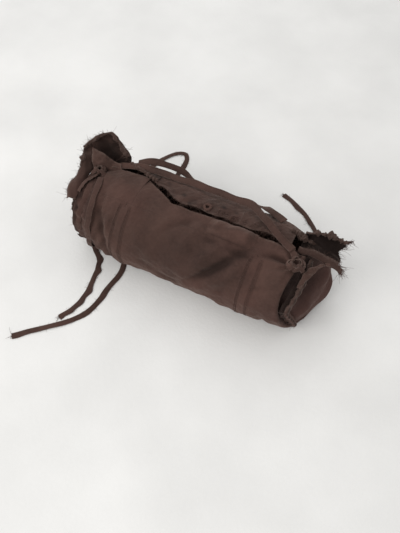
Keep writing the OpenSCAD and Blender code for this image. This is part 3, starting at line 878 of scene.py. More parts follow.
class BAG_OT_bands(bpy.types.Operator):
    """Sew the reinforcing bands round the bag, with two double rows of stitches"""

    bl_idname = "rope_bag.bands"
    bl_label = "Bands"

    def execute(self, context):
        rows_of_stitches = (-0.80, -0.58, 0.58, 0.80)
        for name, middle, low, high in (
            ("front_left_band", BAND_LEFT, 112, 230), ("front_right_band", BAND_RIGHT, 112, 230),
            ("back_left_band", BAND_LEFT, 310, 410), ("back_right_band", BAND_RIGHT, 310, 410),
        ):
            x = np.linspace(middle - BAND_W / 2, middle + BAND_W / 2, 40)
            across = (x - middle) / (BAND_W / 2)
            sewn = hump(np.abs(across) - 0.80, 0.10) + hump(np.abs(across) - 0.58, 0.10)
            off = 0.0002 + 0.0005 * (1 - np.abs(across) ** 12) - 0.00040 * sewn
            share = np.linspace(0, 1, 130)[None]
            sunk = 0.0009 * (1 - ease(share, 0, 0.07) * (1 - ease(share, 0.93, 1)))
            angle = low + (high - low) * share
            p = wall(x[:, None], angle, off[:, None] - sunk)
            # painted shade from the folds, and more in the sunk stitch lines
            dark = painted_shade_at(x[:, None], angle) + 0.25 * sewn[:, None]
            obj = shell(name + "_cloth", p, 0.0008, MATERIALS["body_cotton"], flip=True,
                        edges=(0, 0, 0, 0), dark=dark)
            place(obj, "bag", "band_cloth", name)
            for k, at in enumerate(rows_of_stitches):
                angle = np.linspace(low + 1, high - 1, 200)
                line_x = middle + at * BAND_W / 2 + 0 * angle
                line = wall(line_x, angle, 0.0006)
                up = line - wall(line_x, angle, 0.0)
                row = stitches(f"{name}_stitches_{k + 1}", line, up, group().stitch_pitch,
                               seed=40 + k)
                place(row, "bag", "band_cloth")
        return {"FINISHED"}


class BAG_OT_seams(bpy.types.Operator):
    """Raise the raw seam allowances on both end panels"""

    bl_idname = "rope_bag.seams"
    bl_label = "Raw end seams"

    def execute(self, context):
        # each path is a list of [share of the way from the end's middle to its rim, angle]
        self.seam("left_side_seam", [[0.97, 108], [0.93, 130], [0.84, 160]], 61)
        self.seam("left_corner_seam", [[0.84, 172], [0.90, 195], [0.95, 215]], 62)
        path = [[0.93, 90], [0.80, 104], [0.74, 124], [0.82, 148], [0.95, 165]]
        self.band("right_side_seam", path, 0.0150, 0.0085, 63)
        path = [[0.95, 162], [0.86, 180], [0.84, 199], [0.93, 219]]
        self.band("right_corner_seam", path, 0.0090, 0.0065, 65)
        return {"FINISHED"}

    def band(self, name, path, width, lift, seed):
        """A folded strip of raw cloth over the right end, with a layer under it in painted shade:
        its width is laid across the path, lift off the panel, and bows so that its middle stands
        highest."""
        path = np.asarray(path, float)
        line = smooth_line(np.column_stack([path, 0 * path[:, 0]]), 90)
        r, a = line[:, 0], line[:, 1]
        rim = wall(right_end_x(a), a, -0.0019, relief=0.0)
        hub = np.array([RIGHT_LEN, 0, MIDDLE_Z])
        middle = hub + (rim - hub) * r[:, None]
        middle[:, 0] += lift + 0.012 * (1 - r**2)
        along = unit(np.gradient(middle, axis=0))
        out = unit(np.array([1.0, -0.1, 0.25]) + 0 * middle)
        across = unit(np.cross(out, along))
        share = np.linspace(-1, 1, 18)[:, None, None]
        t = np.linspace(0, 1, 90)[None, :, None]
        size = width / 2 * (1 + 0.12 * np.sin(t * 23 + seed) + 0.08 * np.sin(t * 51))
        p = middle[None] + across[None] * share * size
        p = p - out[None] * (0.0026 * share**2 + 0.0007 * np.sin(t * 37 + share * 2))
        p[..., 2] = np.maximum(p[..., 2], 0.0012)
        # painted shade along the strip's inner channel, and on its inside
        channel = 0.85 * hump(share[..., 0] + 0.12, 0.34) + 0 * t[..., 0]
        obj = shell(name + "_cloth", p, 0.0016, MATERIALS["hem_cotton"], edges=(1, 1, 0, 0),
                    flip=True, dark=channel, dark_in=0.8)
        place(obj, "bag", "seam_cloth", name)
        for k, (edge, inner) in enumerate(((p[0], p[2]), (p[-1], p[-3]))):
            thread = fray(f"{name}_fray_{k + 1}", edge, edge - inner, 90, 0.0034, seed + k)
            place(thread, "bag", "seam_cloth")
        under = middle[None] + across[None] * share * size * 0.9
        under = under - out[None] * (0.0075 * share**2 + 0.003)
        under[..., 2] = np.maximum(under[..., 2], 0.0008)
        # the layer under the strip is darkened all over by painted shade
        obj = shell(name + "_under_layer", under, 0.0010, MATERIALS["seam_cotton"],
                    edges=(1, 1, 0, 0), flip=True, dark=0.85, dark_in=0.8)
        place(obj, "bag", "seam_cloth")

    def seam(self, name, path, seed):
        """A strip of cloth that stands on the left end panel along a path: two layers that lean
        apart, with a frayed top edge."""
        path = np.asarray(path, float)
        line = smooth_line(np.column_stack([path, 0 * path[:, 0]]), 70)
        r, a = line[:, 0], line[:, 1]
        rim = wall(-LEFT_LEN, a, -0.0019, relief=0.0)
        hub = np.array([-LEFT_LEN, 0, MIDDLE_Z])
        base = hub + (rim - hub) * r[:, None]
        inward = unit(hub - rim)
        out = np.array([-1.0, 0.0, 0.0])
        t = np.linspace(0, 1, len(base))
        for k, lean in enumerate((0.9, -0.15)):
            ripple = 0.0009 * np.sin(t * 34 + k * 2) + 0.0006 * np.sin(t * 71 + 1)
            height = (0.0085 - 0.002 * k) * np.sqrt(np.clip(np.sin(np.pi * t) * 4, 0.15, 1))
            rows = []
            for share in np.linspace(0, 1, 9):
                lift = out * (height * share)[:, None] + inward * (
                    lean * height * share**1.4 + ripple * share - 0.002 * (1 - share))[:, None]
                rows.append(base - out * 0.009 * (1 - share) + lift)
            p = np.stack(rows, 0)
            p[..., 2] = np.maximum(p[..., 2], 0.0012)
            # painted shade, darkest at the foot of each layer, and on its inside
            obj = shell(f"{name}_layer_{k + 1}", p, 0.0009, MATERIALS["seam_cotton"],
                        edges=(0, 1, 1, 1), flip=(k == 1),
                        dark=0.8 * (1 - np.linspace(0, 1, 9)[:, None]), dark_in=0.6)
            place(obj, "bag", "seam_cloth", *([name] if k == 0 else []))
            edge = fray(f"{name}_fray_{k + 1}", p[-1], p[-1] - p[-2], 46, 0.0030, seed + k)
            place(edge, "bag", "seam_cloth")


# ---- The mouth -------------------------------------------------------------------------


class BAG_OT_mouth(bpy.types.Operator):
    """Cut the two lips, and add the puffed hem and the closure loop"""

    bl_idname = "rope_bag.mouth"
    bl_label = "Mouth"

    def execute(self, context):
        thick = group().cloth_thickness
        cloth = MATERIALS["lip_cotton"]
        half = arc(SLIT_WIDTH / 2)
        # the back lip: its raw edge rises a little off the slit and curls over
        x = np.linspace(-LIP_LEFT, BACK_LIP_RIGHT, 170)
        share = np.linspace(0, 1, 34)[None]
        low, high = BACK_FOLD, (slit_at(x) - half)[:, None]
        wander = 1.2 * np.sin(x * 130)[:, None] * ease(share, 0.6, 1)
        angle = low + (high - low) * share + wander
        lifted = 0.0030 * ease(share, 0.55, 1.0) * (0.7 + 0.5 * np.sin(x * 95 + 1))[:, None]
        lifted = lifted * (1 - 1.1 * hump(x, 0.013))[:, None]
        crumple = 0.0009 * np.sin(x[:, None] * 240 + share * 7) * ease(share, 0.3, 0.9)
        p = wall(x[:, None], angle, lifted + crumple)
        # painted shade from the folds, plus random darker patches; the lip's inside gets painted
        # shade too
        dark = 0.5 * painted_shade_at(x[:, None], angle) + 0.25 * rumple(p, 0.02, 21) ** 2
        obj = shell("back_lip_cloth", p, thick, cloth, flip=True, edges=(0, 1, 0, 1),
                    dark=dark, dark_in=0.8)
        fold = wall(0.0, BACK_FOLD, 0.0, 0.0)
        inner = wall(0.0, BACK_FOLD + 9.0, 0.0, 0.0)
        bend(obj, "back_lip", "lip_cloth", fold, inner, "back_lip")
        for part, rows in (("left", slice(0, 100)), ("right", slice(127, 170))):
            raw_edge(f"back_lip_{part}_fray", p[rows, -1], p[rows, -2], "back_lip", "lip_cloth",
                     71 + len(part), 1.6, 1.1)
        ladder("back_lip_ladder", p, 132, 166, 26, "back_lip", "lip_cloth", 75)
        # the front lip, and the hem that is folded back along it
        x = np.linspace(-LIP_LEFT, LIP_RIGHT, 190)
        low, high = (slit_at(x) + half)[:, None], FRONT_FOLD
        angle = low + (high - low) * share
        sink = -0.0022 * (1 - ease(share, 0.0, 0.45)) * ease(-x[:, None], -0.01, 0.02)
        p = wall(x[:, None], angle, sink)
        # painted shade from the folds, and on the lip's inside
        obj = shell("front_lip_cloth", p, thick, MATERIALS["body_cotton"], flip=True,
                    edges=(0, 0, 1, 0), dark=painted_shade_at(x[:, None], angle), dark_in=0.8)
        fold = wall(0.0, FRONT_FOLD, 0.0, 0.0)
        inner = wall(0.0, FRONT_FOLD - 6.0, 0.0, 0.0)
        bend(obj, "front_lip", "lip_cloth", fold, inner, "front_lip")
        raw_edge("front_lip_fray", p[:110, 0], p[:110, 1], "front_lip", "lip_cloth", 72, 0.8, 0.8)
        self.hem(half)
        self.loop(half)
        return {"FINISHED"}

    def hem(self, half):
        """A soft folded band: its height is a power of a sine across the band, and fades towards
        both of its ends, with puckers along it."""
        start, stop = 0.0085, LIP_RIGHT - 0.0015
        x = np.linspace(start, stop, 130)[:, None]
        share = np.linspace(0, 1, 36)[None]
        t = (x - start) / (stop - start)
        low, high = SLIT_ANGLE + half + 0.6, FRONT_FOLD - 1.0
        angle = low + (high - low) * share
        taper = ease(t, -0.02, 0.30) * ease(1 - t, -0.02, 0.16)
        puff = np.sin(np.pi * (0.10 + 0.90 * share)) ** 0.6
        pucker = 1 + 0.16 * np.sin(x * 260 + 3 * share) + 0.12 * np.sin(x * 117 + 1)
        off = -0.0012 + 0.0074 * puff * taper * pucker
        p = wall(x + 0 * share, angle, off)
        # painted shade under the hem's lower fold and along a wavy crease across it, and on its
        # inside
        dark = 0.45 * hump(share - 1, 0.12) * taper
        dark = dark + 0.25 * hump(share - 0.35 - 0.2 * np.sin(x * 60), 0.10)
        obj = shell("front_hem_cloth", p, 0.0010, MATERIALS["hem_cotton"], flip=True,
                    edges=(0, 0, 1, 0), dark=dark, dark_in=0.7)
        place(obj, "front_lip", "lip_cloth", "front_hem")
        raw_edge("front_hem_fray", p[:, 0], p[:, 1], "front_lip", "lip_cloth", 77, 0.7, 0.8)

    def loop(self, half):
        """The closure loop: two strands of torn cloth twisted round a ring, with broken threads."""
        steps, sides = 90, 8
        middle = wall(0.0, SLIT_ANGLE - half - arc(0.0070), 0.0027, 0.0)
        turn = np.linspace(0, 2 * np.pi, steps, endpoint=False)
        for k in range(2):
            phase = turn * 7 + k * np.pi
            radius = 0.0046 + 0.0009 * np.cos(phase) + 0.0003 * np.sin(turn * 3)
            line = np.stack([radius * np.cos(turn), radius * np.sin(turn),
                             0.0009 * np.sin(phase) + 0.0006 * np.sin(turn * 2)], -1) + middle
            along = unit(np.roll(line, -1, 0) - np.roll(line, 1, 0))
            one = unit(np.cross(along, [0, 0, 1.0]))
            two = np.cross(along, one)
            ring = np.arange(sides) * np.pi / 4
            cos, sin = np.cos(ring)[None, :, None], np.sin(ring)[None, :, None]
            verts = line[:, None] + 0.00115 * (one[:, None] * cos + two[:, None] * sin)
            i = np.arange(steps)[:, None]
            j = np.arange(sides)[None]
            n, m = (i + 1) % steps * sides, (j + 1) % sides
            i = i * sides
            faces = np.stack([i + m, n + m, n + j, i + j], -1).reshape(-1, 4)
            obj = make_object(f"closure_loop_strand_{k + 1}", verts.reshape(-1, 3), faces,
                              np.full((steps * sides, 2), 0.1), None, MATERIALS["loop_thread"])
            place(obj, "closure_loop", "loop_thread", *(["closure_loop"] if k == 0 else []))
        edge = np.stack([0.0055 * np.cos(turn), 0.0055 * np.sin(turn), 0.0007 + 0 * turn], -1)
        obj = fray("closure_loop_fray", middle + edge, edge + [0, 0, 0.002], 60, 0.0032, 78)
        place(obj, "closure_loop", "loop_thread")


# ---- The hood, the gusset and the cuff -----------------------------------------------------


class BAG_OT_hood(bpy.types.Operator):
    """Raise the hood and the loose raw corner at the left end"""

    bl_idname = "rope_bag.hood"
    bl_label = "Hood and gusset"

    def execute(self, context):
        # a sheet that stands between the back panel's top edge and a rim of five raised points
        lift = np.array([0, 0, GAP + TIE_T + CLOTH + 0.0008])
        left = wall(-LEFT_LEN + 0.002, HOOD_LOW, 0, 0) + lift
        right = wall(HOOD_RIGHT, back_edge_at(HOOD_RIGHT), 0, 0) + lift
        rise = [[-28, 6, 22], [-18, 16, 40], [-11, 19, 42], [-8, 15, 27], [-5, 7, 11]]
        rise = np.array(rise) * MM
        t5 = np.linspace(0, 1, 5)[:, None]
        rim = smooth_line(left * (1 - t5) + right * t5 + rise, 90)
        t = np.linspace(0, 1, 90)[:, None]
        foot = left * (1 - t) + right * t - np.array([0, -0.0015, 0.0040])
        v = np.linspace(0, 1, 46)[:, None, None]
        p = foot[None] * (1 - v) + rim[None] * v
        meet = ease(t[None], 0.0, 0.35)
        p[..., 1] += ((0.0055 * np.sin(np.pi * v) ** 0.8 - 0.0045 * v**6) * meet)[..., 0]
        p[..., 1] -= (0.0060 * (1 - meet) * np.sin(np.pi * v) ** 0.7)[..., 0]
        p[..., 0] -= (0.0030 * np.sin(np.pi * v) * (1 - t[None]))[..., 0]
        crumple = 0.0024 * rumple(p, 0.026, 12) * np.minimum(1, v[..., 0] * 3)
        p = p + facing(p) * crumple[..., None]
        # painted shade over the hood, uneven and fading out only near its rim; a little on its
        # inside
        inside = 0.86 * (1 - v[..., 0] ** 5) * (1 - 0.3 * rumple(p, 0.02, 22) ** 2)
        obj = shell("left_hood_cloth", p, group().cloth_thickness, MATERIALS["hood_cotton"],
                    flip=True, edges=(0, 1, 1, 1), dark=np.clip(inside, 0, 1), dark_in=0.2)
        start = (left + right) / 2
        end = start + np.array([0, 0.004, 0.008])
        bend(obj, "left_hood", "hood_cloth", start, end, "left_hood")
        edge = roll("left_hood_rim", np.concatenate([p[26:-1:3, 0], p[-1][1:-1]]), 0.0026,
                    MATERIALS["rim_cotton"], 5, 0.7)
        place(edge, "left_hood", "hood_cloth")
        raw_edge("left_hood_fray", p[-1], p[-3], "left_hood", "hood_cloth", 81, 3.0, 1.2, 0.1)
        raw_edge("left_hood_inner_fray", p[-4], p[-1] + [0, -0.004, 0.002], "left_hood",
                 "hood_cloth", 84, 1.8, 1.1, 0.6)
        self.lining()
        self.slope()
        self.gusset()
        return {"FINISHED"}

    def lining(self):
        """The paler lining that has dropped inside the hood: a folded tongue of cloth that leans
        from the left side over the dark opening, with a second fold along the front."""
        u = np.linspace(0, 1, 56)[None, :, None]
        v = np.linspace(0, 1, 40)[:, None, None]
        low_a = wall(-0.1895, 76.0, 0.001, 0)
        low_b = wall(-0.138, 68.0, 0.000, 0)
        top_a = low_a + [-0.012, 0.019, 0.022]
        top_b = low_b + [-0.016, 0.007, 0.002]
        base, top = low_a * (1 - u) + low_b * u, top_a * (1 - u) + top_b * u
        p = base * (1 - v) + top * v
        arch = np.sin(np.pi * v) * (0.004 + 0.003 * np.sin(u * 7))
        p[..., 1] -= arch[..., 0]
        p[..., 2] += (0.0040 * np.sin(np.pi * v * 0.8) * np.sin(u * 5 + 0.6))[..., 0]
        p = p + facing(p) * (0.0013 * rumple(p, 0.016, 14))[..., None]
        obj = shell("hood_lining_fold", p, 0.0012, MATERIALS["hem_cotton"], edges=(0, 1, 1, 1))
        place(obj, "bag", "hood_cloth")
        raw_edge("hood_lining_fray", p[-1], p[-3], "bag", "hood_cloth", 83, 1.0, 0.7)

    def slope(self):
        """The standing raw edge that falls from the hood's right corner to the start of the
        mouth: a strip up from the back panel's edge, with a roll along its top."""
        x = np.linspace(-0.144, -0.088, 90)
        share = np.linspace(0, 1, 90)
        edge_angle = back_edge_at(x)
        foot = wall(x, edge_angle - 2.5, 0.0006)
        top = wall(x, edge_angle + 3.5 + 3 * share, 0.0070 * (1 - share) ** 2 + 0.0020, 0.6)
        v = np.linspace(0, 1, 12)[:, None, None]
        p = foot[None] * (1 - v) + top[None] * v
        # painted shade: a little on the strip's face and much on its inside
        obj = shell("hood_slope_cloth", p, 0.0011, MATERIALS["hood_cotton"], flip=True,
                    edges=(0, 1, 0, 0), dark=0.1, dark_in=0.7)
        place(obj, "bag", "hood_cloth")
        edge = roll("hood_slope_roll", top, 0.0026, MATERIALS["hood_cotton"], 7, 0.6)
        place(edge, "bag", "hood_cloth")
        raw_edge("hood_slope_fray", top, foot, "bag", "hood_cloth", 86, 2.4, 1.1, 0.0)

    def gusset(self):
        """The loose corner: a strip from the end's rim outwards, with a wavy torn edge."""
        turns = [HOOD_LOW, 60, 76, 92, 112, 132]
        flare = [[-26, 8, 26], [-25, 5, 22], [-18, 2, 14], [-14, 0, 7], [-22, 4, -3], [-14, -3, 1]]
        flare = np.array(flare) * MM
        feet = wall(-0.1915, turns, 0, 0)
        feet[:, 2] += 0.0008
        foot, rim = smooth_line(feet, 130), smooth_line(feet + flare, 130)
        v = np.linspace(0, 1, 34)[:, None, None]
        t = np.linspace(0, 1, 130)[None, :, None]
        p = foot[None] * (1 - v) + rim[None] * v
        p[..., 2] += (0.0035 * np.sin(np.pi * v))[..., 0]
        p[..., 0] -= (0.0030 * np.sin(np.pi * v) * (1 - t))[..., 0]
        crumple = 0.0020 * rumple(p, 0.022, 15) * np.minimum(1, v[..., 0] * 4)
        p = p + facing(p) * crumple[..., None]
        # painted shade, darker towards the gusset's foot, and on its inside
        obj = shell("left_gusset_cloth", p, group().cloth_thickness, MATERIALS["hood_cotton"],
                    edges=(0, 1, 1, 1), dark=0.22 * (1 - v[..., 0]) + 0 * t[..., 0], dark_in=0.4)
        place(obj, "bag", "hood_cloth", "left_gusset")
        edge = roll("left_gusset_rim", p[-1][1:62], 0.0024, MATERIALS["rim_cotton"], 6, 0.7)
        place(edge, "bag", "hood_cloth")
        raw_edge("left_gusset_fray", p[-1], p[-3], "bag", "hood_cloth", 85, 2.2, 1.1, 0.3)


class BAG_OT_cuff(bpy.types.Operator):
    """Open the frayed cuff at the right end of the mouth"""

    bl_idname = "rope_bag.cuff"
    bl_label = "Cuff"

    def execute(self, context):
        top = MIDDLE_Z + HALF_H * 0.955
        middle_y = 0.0202
        u = np.linspace(0, 1, 64)[:, None]
        # open along its top: from the back edge, round underneath, to the front edge
        turn = np.linspace(48, -228, 120)[None]
        a = np.radians(turn)
        front = ease(-turn, 120, 190)
        length = 0.045 + 0.004 * np.sin(a * 2 + 0.6) + 0.002 * np.sin(a * 7) + 0.004 * front
        x = 0.139 + u * (length + 0.011)
        half_y = 0.0185 + 0.0060 * u - 0.003 * front * u
        half_z = 0.0080 + 0.0032 * u
        centre_z = top - 0.0025 + 0.0087 * ease(u, 0.02, 0.38) - 0.0050 * u
        p = np.stack([
            x + 0 * a, middle_y + half_y * np.cos(a), centre_z + half_z * np.sin(a),
        ], -1)
        p[..., 1] -= front * u * 0.004
        crumple = 0.0019 * rumple(p, 0.022, 17) * np.minimum(1, u * 3)
        p = p + facing(p) * crumple[..., None]
        # painted shade: a little on the cuff's face and nearly black on its inside
        obj = shell("right_cuff_cloth", p, 0.0012, MATERIALS["hood_cotton"],
                    edges=(0, 1, 1, 1), dark=0.15, dark_in=0.92)
        start, end = (0.150, middle_y, top), (0.164, middle_y, top)
        bend(obj, "right_cuff", "cuff_cloth", start, end, "right_cuff")
        back = roll("right_cuff_back_roll", p[12:-1, 0] + [0, 0, 0.0006], 0.0030,
                    MATERIALS["rim_cotton"], 9, 0.7)
        place(back, "right_cuff", "cuff_cloth")
        raw_edge("right_cuff_fray", p[-1], p[-4], "right_cuff", "cuff_cloth", 91, 3.2, 1.2, 0.2)
        raw_edge("right_cuff_back_fray", p[8:, 0], p[8:, 3], "right_cuff", "cuff_cloth", 93,
                 2.2, 1.0, 0.0)
        raw_edge("right_cuff_front_fray", p[8:, -1], p[8:, -3], "right_cuff", "cuff_cloth", 92,
                 1.4, 0.9)
        self.mouth_edge()
        self.front_fold()
        return {"FINISHED"}

    def mouth_edge(self):
        """The raw edge of the back panel at the open end of the mouth, rolled over on itself."""
        x = np.linspace(0.118, 0.160, 60)
        line = wall(x, BACK_FOLD + 2 + 2 * np.sin(x * 140), 0.0016, 0.6)
        edge = roll("mouth_end_roll", line, 0.0030, MATERIALS["rim_cotton"], 13, 0.7)
        place(edge, "bag", "cuff_cloth")
        raw_edge("mouth_end_fray", line, line + [0, 0.003, -0.004], "bag", "cuff_cloth", 94,
                 2.4, 1.0, 0.0)

    def front_fold(self):
        """A pale folded end of cloth that falls from the cuff's front lobe over the top of the
        end panel: an arched band that narrows as it goes down."""
        ends = np.array([[0.187, 0.001, 0.1240], [0.176, -0.008, 0.1255], [0.167, -0.019, 0.1200],
                         [0.1625, -0.030, 0.1090], [0.1600, -0.037, 0.0990]])
        line = smooth_line(ends, 60)
        t = np.linspace(0, 1, 60)[None, :, None]
        v = np.linspace(-1, 1, 26)[:, None, None]
        across = np.array([0.70, 0.62, -0.10])
        p = line[None] + across * v * (0.0095 + 0.0030 * np.sin(np.pi * t) - 0.0055 * t)
        p = p + np.array([0.35, -0.55, 0.75]) * (0.0050 * (1 - v**2) - 0.003)
        p = p + facing(p) * (0.0011 * rumple(p, 0.013, 19))[..., None]
        obj = shell("knot_fold_cloth", p, 0.0013, MATERIALS["hem_cotton"], flip=True)
        place(obj, "bag", "cuff_cloth")
        raw_edge("knot_fold_fray", p[-1], p[-3], "bag", "cuff_cloth", 95, 1.2, 0.8)


# ---- Handles, ties and tails ---------------------------------------------------------------

# where each strap starts and ends, and its points: [share of the way, angle, height in mm]
FRONT_HANDLE = (TIE_X + 0.012, KNOT_X - 0.012, [
    [0, 66, 4], [0.09, 60, 5.5], [0.2, 58, 6.5], [0.35, 56, 7.5], [0.52, 55, 8], [0.65, 56, 8.5],
    [0.755, 61, 9.5], [0.83, 72, 8.5], [0.9, 81, 6], [0.96, 88, 3], [1, 92, 2.2],
])
BACK_HANDLE = (-0.138, 0.104, [
    [0, 45, 6], [0.07, 47, 12], [0.16, 44, 15], [0.25, 35, 14], [0.36, 18, 10], [0.53, 4, 12],
    [0.69, 5, 10], [0.81, 24, 6], [0.88, 41, 6], [0.95, 49, 5], [1, 55, 4],
])


def handle_route(start, stop, line, count):
    """A smooth curve of count points through a strap's own points above the wall."""
    line = np.asarray(line, float)
    p = wall(start + (stop - start) * line[:, 0], line[:, 1], line[:, 2] * MM, 0.0)
    return smooth_line(p, count)


def strap_face(route, lean):
    """Way a strap's face looks: a mix of straight out from the bag's middle line and up with a
    lean to the front. lean is the share of the second, at each point."""
    out = unit(np.stack([0 * route[:, 0], route[:, 1], route[:, 2] - MIDDLE_Z], -1))
    return unit(out * (1 - lean)[:, None] + np.array([0, -0.35, 1.0]) * lean[:, None])


class BAG_OT_handles(bpy.types.Operator):
    """Lay the two strap handles, folded tape with a row of stitches along each edge"""

    bl_idname = "rope_bag.handles"
    bl_label = "Strap handles"

    def execute(self, context):
        for name, spec, seed in (
            ("front_handle", FRONT_HANDLE, 11), ("back_handle", BACK_HANDLE, 12)
        ):
            route = handle_route(*spec, 240)
            t = np.linspace(0, 1, len(route))
            if name == "front_handle":
                lean = 0.85 * ease(t, 0.0, 0.06) * (1 - ease(t, 0.9, 1.0))
            else:
                lean = 0.95 * (1 - ease(t, 0.26, 0.38)) + 0.7 * ease(t, 0.74, 0.86)
            face = strap_face(route, lean)
            obj = tape(name + "_strap", route, STRAP_W, STRAP_T, face, MATERIALS["strap_cotton"],
                       0.0004, seed)
            place(obj, name, "strap_cloth", name)
            along = unit(np.gradient(route, axis=0))
            across = unit(np.cross(face, along))
            up = np.cross(along, across)
            for k, at in enumerate((-0.36, 0.36)):
                line = route + across * at * STRAP_W + up * STRAP_T * 0.36
                row = stitches(f"{name}_stitches_{k + 1}", line[3:-3], up[3:-3], 0.0030, seed=seed)
                place(row, name, "strap_cloth")
        return {"FINISHED"}


def torn_strip(name, route, width, thick, face, seed, curl=0.0):
    """A tie torn from cloth: a tape with an uneven width, and threads along both edges."""
    obj = tape(name, route, width, thick, face, MATERIALS["tie_cotton"], 0.0003, seed, curl)
    along = unit(np.gradient(route, axis=0))
    across = unit(np.cross(face, along))
    metres = np.linalg.norm(np.diff(route, axis=0), axis=1).sum()
    pieces = []
    for k, way in enumerate((-1, 1)):
        edge = route + across * way * width * 0.47
        thread = fray(f"{name}_fray_{k + 1}", edge, across * way, int(metres * 260), 0.0028,
                      seed * 10 + k, radius=0.00018)
        pieces.append(thread)
    return obj, pieces


class BAG_OT_ties(bpy.types.Operator):
    """Wind the gathering tie round the left end and tie both knots"""

    bl_idname = "rope_bag.ties"
    bl_label = "Ties and knots"

    def execute(self, context):
        span = arc(0.010 / LEFT_GATHER) + 1.5
        a = np.linspace(LEFT_KNOT_ANGLE + span, LEFT_KNOT_ANGLE + 360 - span, 240)
        route = wall(TIE_X + 0.0006 * np.sin(a / 9), a, GAP + TIE_T / 2 + 0.0008)
        face = unit(route - wall(TIE_X, a, -0.010, 0.0))
        face[route[:, 2] < 0.006] = [0, 0, -1]
        self.lay("left_tie_wrap_strip", route, TIE_W, TIE_T, face, 31, "left_tie_wrap")
        share = np.linspace(0, 1, 120)
        a = LEFT_KNOT_ANGLE + span + (SHORT_TAIL_ANGLE - LEFT_KNOT_ANGLE - span) * share
        x = TIE_X + TIE_W + 0.0016 + 0.014 * np.sin(np.pi * share)
        route = wall(x, a, 2 * GAP + TIE_T / 2 + 0.0014)
        face = unit(route - wall(x, a, -0.010, 0.0))
        self.lay("left_tie_strand_strip", route, TIE_W, TIE_T, face, 32, "left_tie_strand")
        self.ends()
        self.knot("left_tie_knot", wall(TIE_X, LEFT_KNOT_ANGLE, 0.0058, 0.0), 33)
        self.knot("right_tie_knot", wall(KNOT_X, 106.0, 0.0082, 0.0), 34)
        return {"FINISHED"}

    def lay(self, name, route, width, thick, face, seed, *nodes):
        """Lays a torn strip and its threads on the bag."""
        obj, threads = torn_strip(name, route, width, thick, face, seed)
        place(obj, "bag", "tie_cloth", *nodes)
        for thread in threads:
            place(thread, "bag", "tie_cloth")

    def ends(self):
        """Three short strips: the tie's end that runs from the left knot to the raw corner, the
        one that passes under the bag's left foot, and the one that comes off the right knot."""
        x, a, off = np.array([
            (-0.176, 82, 0.0052), (-0.182, 92, 0.0042), (-0.188, 104, 0.0036),
            (-0.191, 118, 0.0034),
        ]).T
        route = smooth_line(wall(x, a, off, 0.5), 90)
        face = unit(route - np.array([-0.15, 0, MIDDLE_Z]))
        self.lay("left_corner_strip", route, STRIP_W, 0.0018, face, 36)
        x, a, off = np.array([
            (-0.187, 205, 0.0035), (-0.184, 222, 0.0040), (-0.176, 234, 0.0045),
            (-0.165, 242, 0.0050), (-0.152, 248, 0.0045),
        ]).T
        route = smooth_line(wall(x, a, off, 0.0), 90)
        route[:, 2] = np.maximum(route[:, 2], 0.0035)
        middle = np.stack([route[:, 0] + 0.02, 0 * route[:, 1], 0 * route[:, 0] + MIDDLE_Z], -1)
        self.lay("left_foot_strip", route, STRIP_W, 0.0018, unit(route - middle), 37)
        x, a = np.array([(0.1300, 90), (0.1345, 93.5), (0.1395, 98), (0.1450, 104)]).T
        route = smooth_line(wall(x, a, 0.0014, 0.5), 50)
        face = unit(route - np.array([0.14, 0, MIDDLE_Z]))
        self.lay("right_knot_strip", route, STRIP_W, 0.0012, face, 38)

    def knot(self, name, middle, seed):
        """A knot of torn cloth: three loops of strip wound round each other, each an ellipse that
        rises and dips as it goes, and two short ends that stand out of it."""
        turn = np.linspace(0, 2 * np.pi, 60)
        big = 1.45 if name == "right_tie_knot" else 1.0
        for k, (tilt, long, wide) in enumerate(((0.3, 0.0082, 0.0056), (1.9, 0.0074, 0.0044),
                                                (1.1, 0.0060, 0.0052))):
            long, wide = long * big, wide * big
            ring = np.stack([long * np.cos(turn), wide * np.sin(turn),
                             0.0020 * np.sin(2 * turn + k) + 0.0006 * (k - 1)], -1)
            c, s = np.cos(tilt), np.sin(tilt)
            ring = ring @ np.array([[c, s, 0], [-s, c, 0], [0, 0, 1]])
            line = middle + ring
            out = unit(ring + np.array([0, 0, 0.0035]))
            obj = tape(f"{name}_loop_{k + 1}", line, 0.0056, 0.0024, out,
                       MATERIALS["tie_cotton" if k else "hem_cotton"], 0.0004, seed + k, 0.0008)
            place(obj, "bag", "tie_cloth", *([name] if k == 0 else []))
        for k, way in enumerate(((0.9, -0.5), (-0.5, -0.85))):
            tip = np.array([way[0] * 0.014, way[1] * 0.014, -0.001])
            line = smooth_line(middle + np.array([tip * 0.1, tip * 0.5 + [0, 0, 0.003], tip]), 30)
            face = np.tile([0.0, 0, 1.0], (30, 1))
            obj = tape(f"{name}_end_{k + 1}", line, 0.0062, 0.0014, face,
                       MATERIALS["tie_cotton"], 0.0003, seed + 7 + k)
            place(obj, "bag", "tie_cloth")
            way = np.tile(tip, (4, 1))
            end = fray(f"{name}_end_fray_{k + 1}", line[-4:], way, 16, 0.004, seed + k)
            place(end, "bag", "tie_cloth")


def floor_half_width(x):
    """Half the width of the flat underside at x."""
    s = size_at(np.asarray(x, float))
    return HALF_W * s * np.cos(np.arcsin(np.minimum(1, MIDDLE_Z / (HALF_H * s))))


def flat_points(points):
    """Steps of a tail that lie flat on the floor."""
    return [[x, y, 0] for x, y in points]


